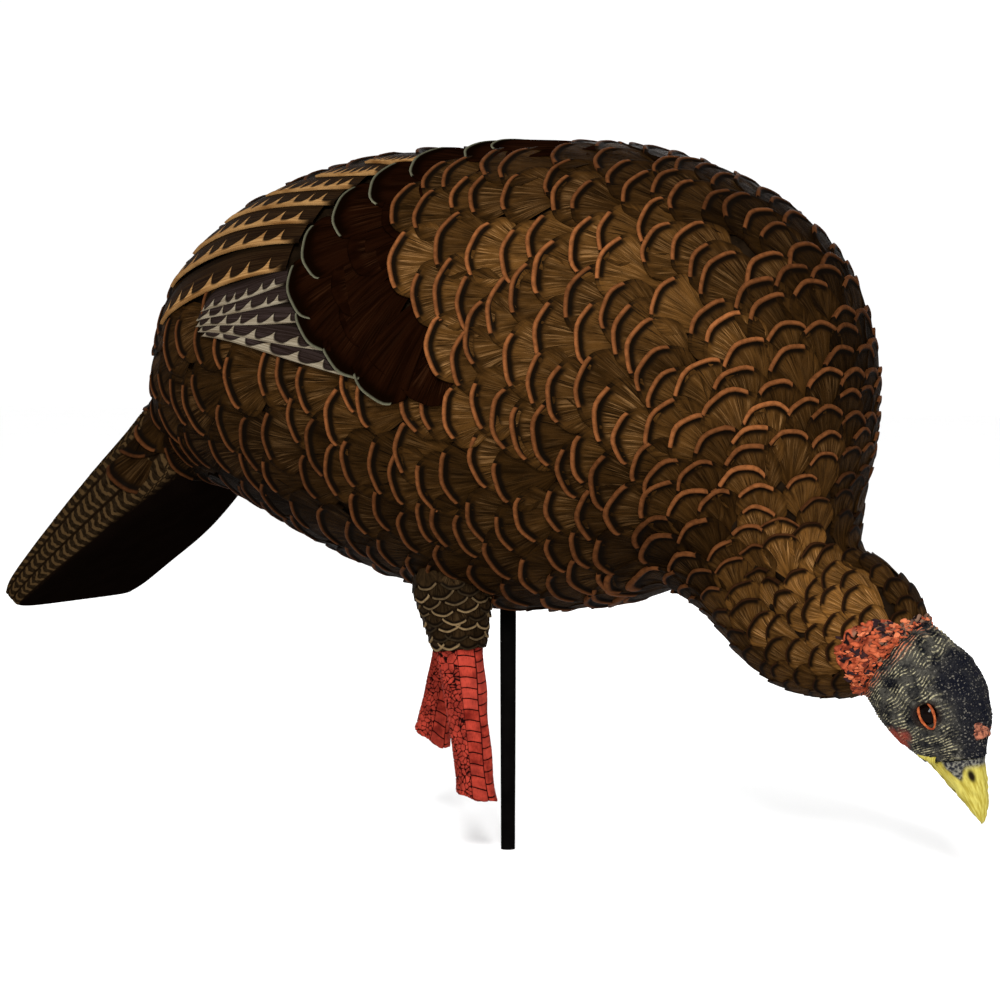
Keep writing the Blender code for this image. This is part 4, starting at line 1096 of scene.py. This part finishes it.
def make_legs():
    p = Paint("leg_scales")
    crack, rnd, u, a = p.attributes("crack rnd u a")
    patch = p.noise(130.0, 5.0)
    red = p.blend(patch, (0.110, 0.008, 0.005), (0.40, 0.042, 0.024))
    red = p.mix(rnd * 0.45, red, (0.46, 0.062, 0.04))
    scratch = p.drawn(u * 300.0, a * 30.0, detail=3.0)
    red = p.mix(p.step(scratch, 0.56, 0.70, (0.0, 0.7)), red, (0.050, 0.007, 0.005))
    colour = p.mix(p.step(crack, 0.15, 0.65), red, (0.008, 0.002, 0.002))
    height = scratch * 0.4 - crack
    mat = p.finish(colour, height, 0.0006, patch, (0.38, 0.58))
    rows, columns = 230, 150
    # Plates down the front: how far round they reach, their width in radians and length in metres.
    reach, plate_w, plate_l = 1.25, 0.83, 0.0072
    around, scales, cut_at = 0.0125, 800, 0.03
    for number, (name, side, hip, ankle, hip_r, ankle_r, _) in enumerate(LEGS):
        rng = np.random.default_rng(40 + number)
        _, foot, axis, ahead, length = leg_frame(side, hip, ankle)
        uu, aa = grid(np.linspace(0, length, rows), circle(columns))
        angle = wrapped(aa)
        places = [0, length * 0.35, length * 0.9, length]
        r = np.interp(uu, places, [ankle_r, ankle_r * 0.97, hip_r * 0.98, hip_r])
        # Wide plates down the front, small round scales behind.
        plate = uu / plate_l + 0.18 * np.cos(angle * 1.5) + 0.08 * np.sin(5 * angle)
        column = np.floor((angle + reach) / plate_w)
        plate = plate + 0.5 * (column % 2)
        fold = np.abs((plate % 1) - 0.5) * 2
        seam = np.abs((((angle + reach) / plate_w) % 1) - 0.5) * 2
        front = np.abs(angle) < reach
        crack = np.maximum(np.clip((fold - 0.86) / 0.10, 0, 1), np.clip((seam - 0.90) / 0.07, 0, 1))
        flat = np.stack([uu, angle * around, 0 * uu], 1)
        along, across = rng.uniform(-0.004, length + 0.004, scales), rng.uniform(-pi, pi, scales) * around
        first, second = cell_distance(flat, np.stack([along, across, np.zeros(scales)], 1))
        crack = np.where(front, crack, np.clip(1 - (second - first) / 0.0006, 0, 1))
        tint = (np.sin(np.floor(plate) * 12.9 + column * 4.1) * 437.5) % 1
        tint = np.where(front, tint, (first * 900) % 1)
        # The edges of the cut are ragged, and the shank flares there.
        flare = 1 + 0.10 * np.exp(-uu / 0.006)
        lump = 0.0006 * np.cos(angle * 2) + 0.0005 * waves(flat, rng, 6, 0.02)
        r = r * flare + 0.0007 * (1 - crack) + lump - 0.0006 * crack
        ring = np.cos(aa)[:, None] * ahead + np.sin(aa)[:, None] * np.array([0.0, -1.0, 0.0])
        points = foot + uu[:, None] * axis + r[:, None] * ring
        # The foot ends on a slant, as the CAD has it, with worn corners.
        slope = tan(radians(20))
        floor = foot[2] - slope * (points[:, 0] - foot[0]) + 0.0006 * np.sin(aa * 5 + number)
        lift = np.clip(1 - uu / cut_at, 0, 1)
        points[:, 2] = np.where(uu < cut_at, points[:, 2] + (floor - foot[2]) * lift, points[:, 2])
        # The cut's face is an inset ring and a middle point, a little up from the edge.
        up = np.array([0, 0, 0.0006])
        base = points[:columns].mean(0)
        points = np.concatenate([points, base + (points[:columns] - base) * 0.93 + up, base[None] + up])
        faces = grid_faces(rows, columns, closed=True).tolist()
        inner = rows * columns
        for j in range(columns):
            k = (j + 1) % columns
            faces.append([k, j, inner + j, inner + k])
            faces.append([inner + k, inner + j, inner + columns])
        values = {"crack": crack, "rnd": tint, "u": uu, "a": np.abs(angle)}
        values = {k: np.append(v, np.zeros(columns + 1)) for k, v in values.items()}
        make_mesh(f"leg_scales_{name}", points, faces, values, mat, "decoy", "leg_red", (f"leg_{name}",))


# ---- CAD surfaces


# For each slot: name, colour, lighter colour, roughness, and what differs from plain_paint's defaults.
METAL = {"scale": 50.0, "metallic": 1.0, "specular": 0.5}
COATS = {
    "feather_brown": (
        "under_skin", (0.005, 0.003, 0.0015), (0.014, 0.008, 0.004), 0.6,
        {"scale": 90.0, "depth": 0.0006, "grain": 260.0},
    ),
    "wing_brown": (
        "wing_skin", (0.010, 0.005, 0.003), (0.022, 0.011, 0.005), 0.6,
        {"scale": 90.0, "depth": 0.0005, "grain": 260.0},
    ),
    "thigh_brown": ("thigh_skin", (0.014, 0.008, 0.004), (0.030, 0.018, 0.009), 0.65, {}),
    "leg_red": ("leg_core", (0.10, 0.014, 0.008), (0.22, 0.036, 0.020), 0.5, {}),
    "moulded_black": ("moulded_black", (0.010, 0.010, 0.010), (0.018, 0.018, 0.019), 0.5, {}),
    "bearing_white": (
        "acetal", (0.62, 0.61, 0.57), (0.70, 0.69, 0.66), 0.34,
        {"scale": 30.0, "depth": 0.0001, "specular": 0.5},
    ),
    "oring_black": ("oring_rubber", (0.012, 0.012, 0.012), (0.022, 0.022, 0.022), 0.6, {"scale": 120.0}),
    "stake_black": (
        "stake_coat", (0.0016, 0.0014, 0.0014), (0.0034, 0.0030, 0.0028), 0.40,
        {"scale": 40.0, "depth": 0.0003, "specular": 0.0},
    ),
    "steel": ("steel", (0.38, 0.38, 0.39), (0.50, 0.50, 0.51), 0.32, METAL),
    "washer_brass": ("brass", (0.52, 0.36, 0.14), (0.66, 0.47, 0.20), 0.28, METAL),
}


def paint_node(name, mat):
    materials = frame["nodes"][name].data.materials
    materials.clear()
    materials.append(mat)


def paint_nodes():
    coats = {slot: plain_paint(*given, **more) for slot, (*given, more) in COATS.items()}
    coats["tail_brown"] = coats["moulded_black"]
    for part in frame["record"]["subparts"]:
        if part["material_slot"] in coats:
            paint_node(part["node"], coats[part["material_slot"]])


# ---- studio


def area_light(name, at, target, size, power):
    light = bpy.data.lights.new(name, "AREA")
    light.shape, light.size, light.energy = "DISK", size, power
    obj = add_object(name, light)
    obj.location = at
    obj.rotation_euler = (Vector(target) - Vector(at)).to_track_quat("-Z", "Y").to_euler()


def make_studio():
    p = Paint("studio_floor", 0.7)
    p.finish(p.mix(p.noise(3.0), (0.955 / LAMP,) * 3, (0.985 / LAMP,) * 3), p.noise(160.0), 0.0004)
    size = 14.0
    points = [(-size, -size, 0), (size, -size, 0), (size, size, 0), (-size, size, 0)]
    mesh = bpy.data.meshes.new("floor")
    mesh.from_pydata(points, [], [(0, 1, 2, 3)])
    mesh.materials.append(p.mat)
    add_object("floor", mesh)
    bpy.context.scene.view_settings.view_transform = "Standard"
    world = bpy.data.worlds.new("studio")
    world.use_nodes = True
    sky = world.node_tree.nodes["Background"]
    sky.inputs["Color"].default_value = (1.0, 1.0, 1.0, 1.0)
    sky.inputs["Strength"].default_value = 1.03
    bpy.context.scene.world = world
    area_light("key", (1.15, -2.25, 1.55), (0.05, 0, 0.28), 0.7, 105)
    area_light("fill", (-1.8, -1.6, 1.1), (0, 0, 0.28), 1.6, 4)
    area_light("rim", (-0.6, 2.0, 1.2), (0, 0, 0.30), 1.2, 12)
    target = Vector((-0.0062, 0.0, 0.2385))
    azimuth, elevation, distance = radians(28), radians(3), 1.8
    back = Vector((sin(azimuth) * cos(elevation), -cos(azimuth) * cos(elevation), sin(elevation)))
    camera = bpy.data.cameras.new("camera")
    camera.lens, camera.sensor_width = 95.3, 36.0
    eye = add_object("camera", camera)
    eye.location = target + back * distance
    eye.rotation_euler = (-back).to_track_quat("-Z", "Y").to_euler()
    bpy.context.scene.camera = eye


paint_nodes()
make_body_feathers()
make_wings()
make_thighs()
make_tail()
make_head()
make_neck_skin()
make_caruncles()
make_beak()
make_eyes()
make_snood()
make_legs()
make_studio()
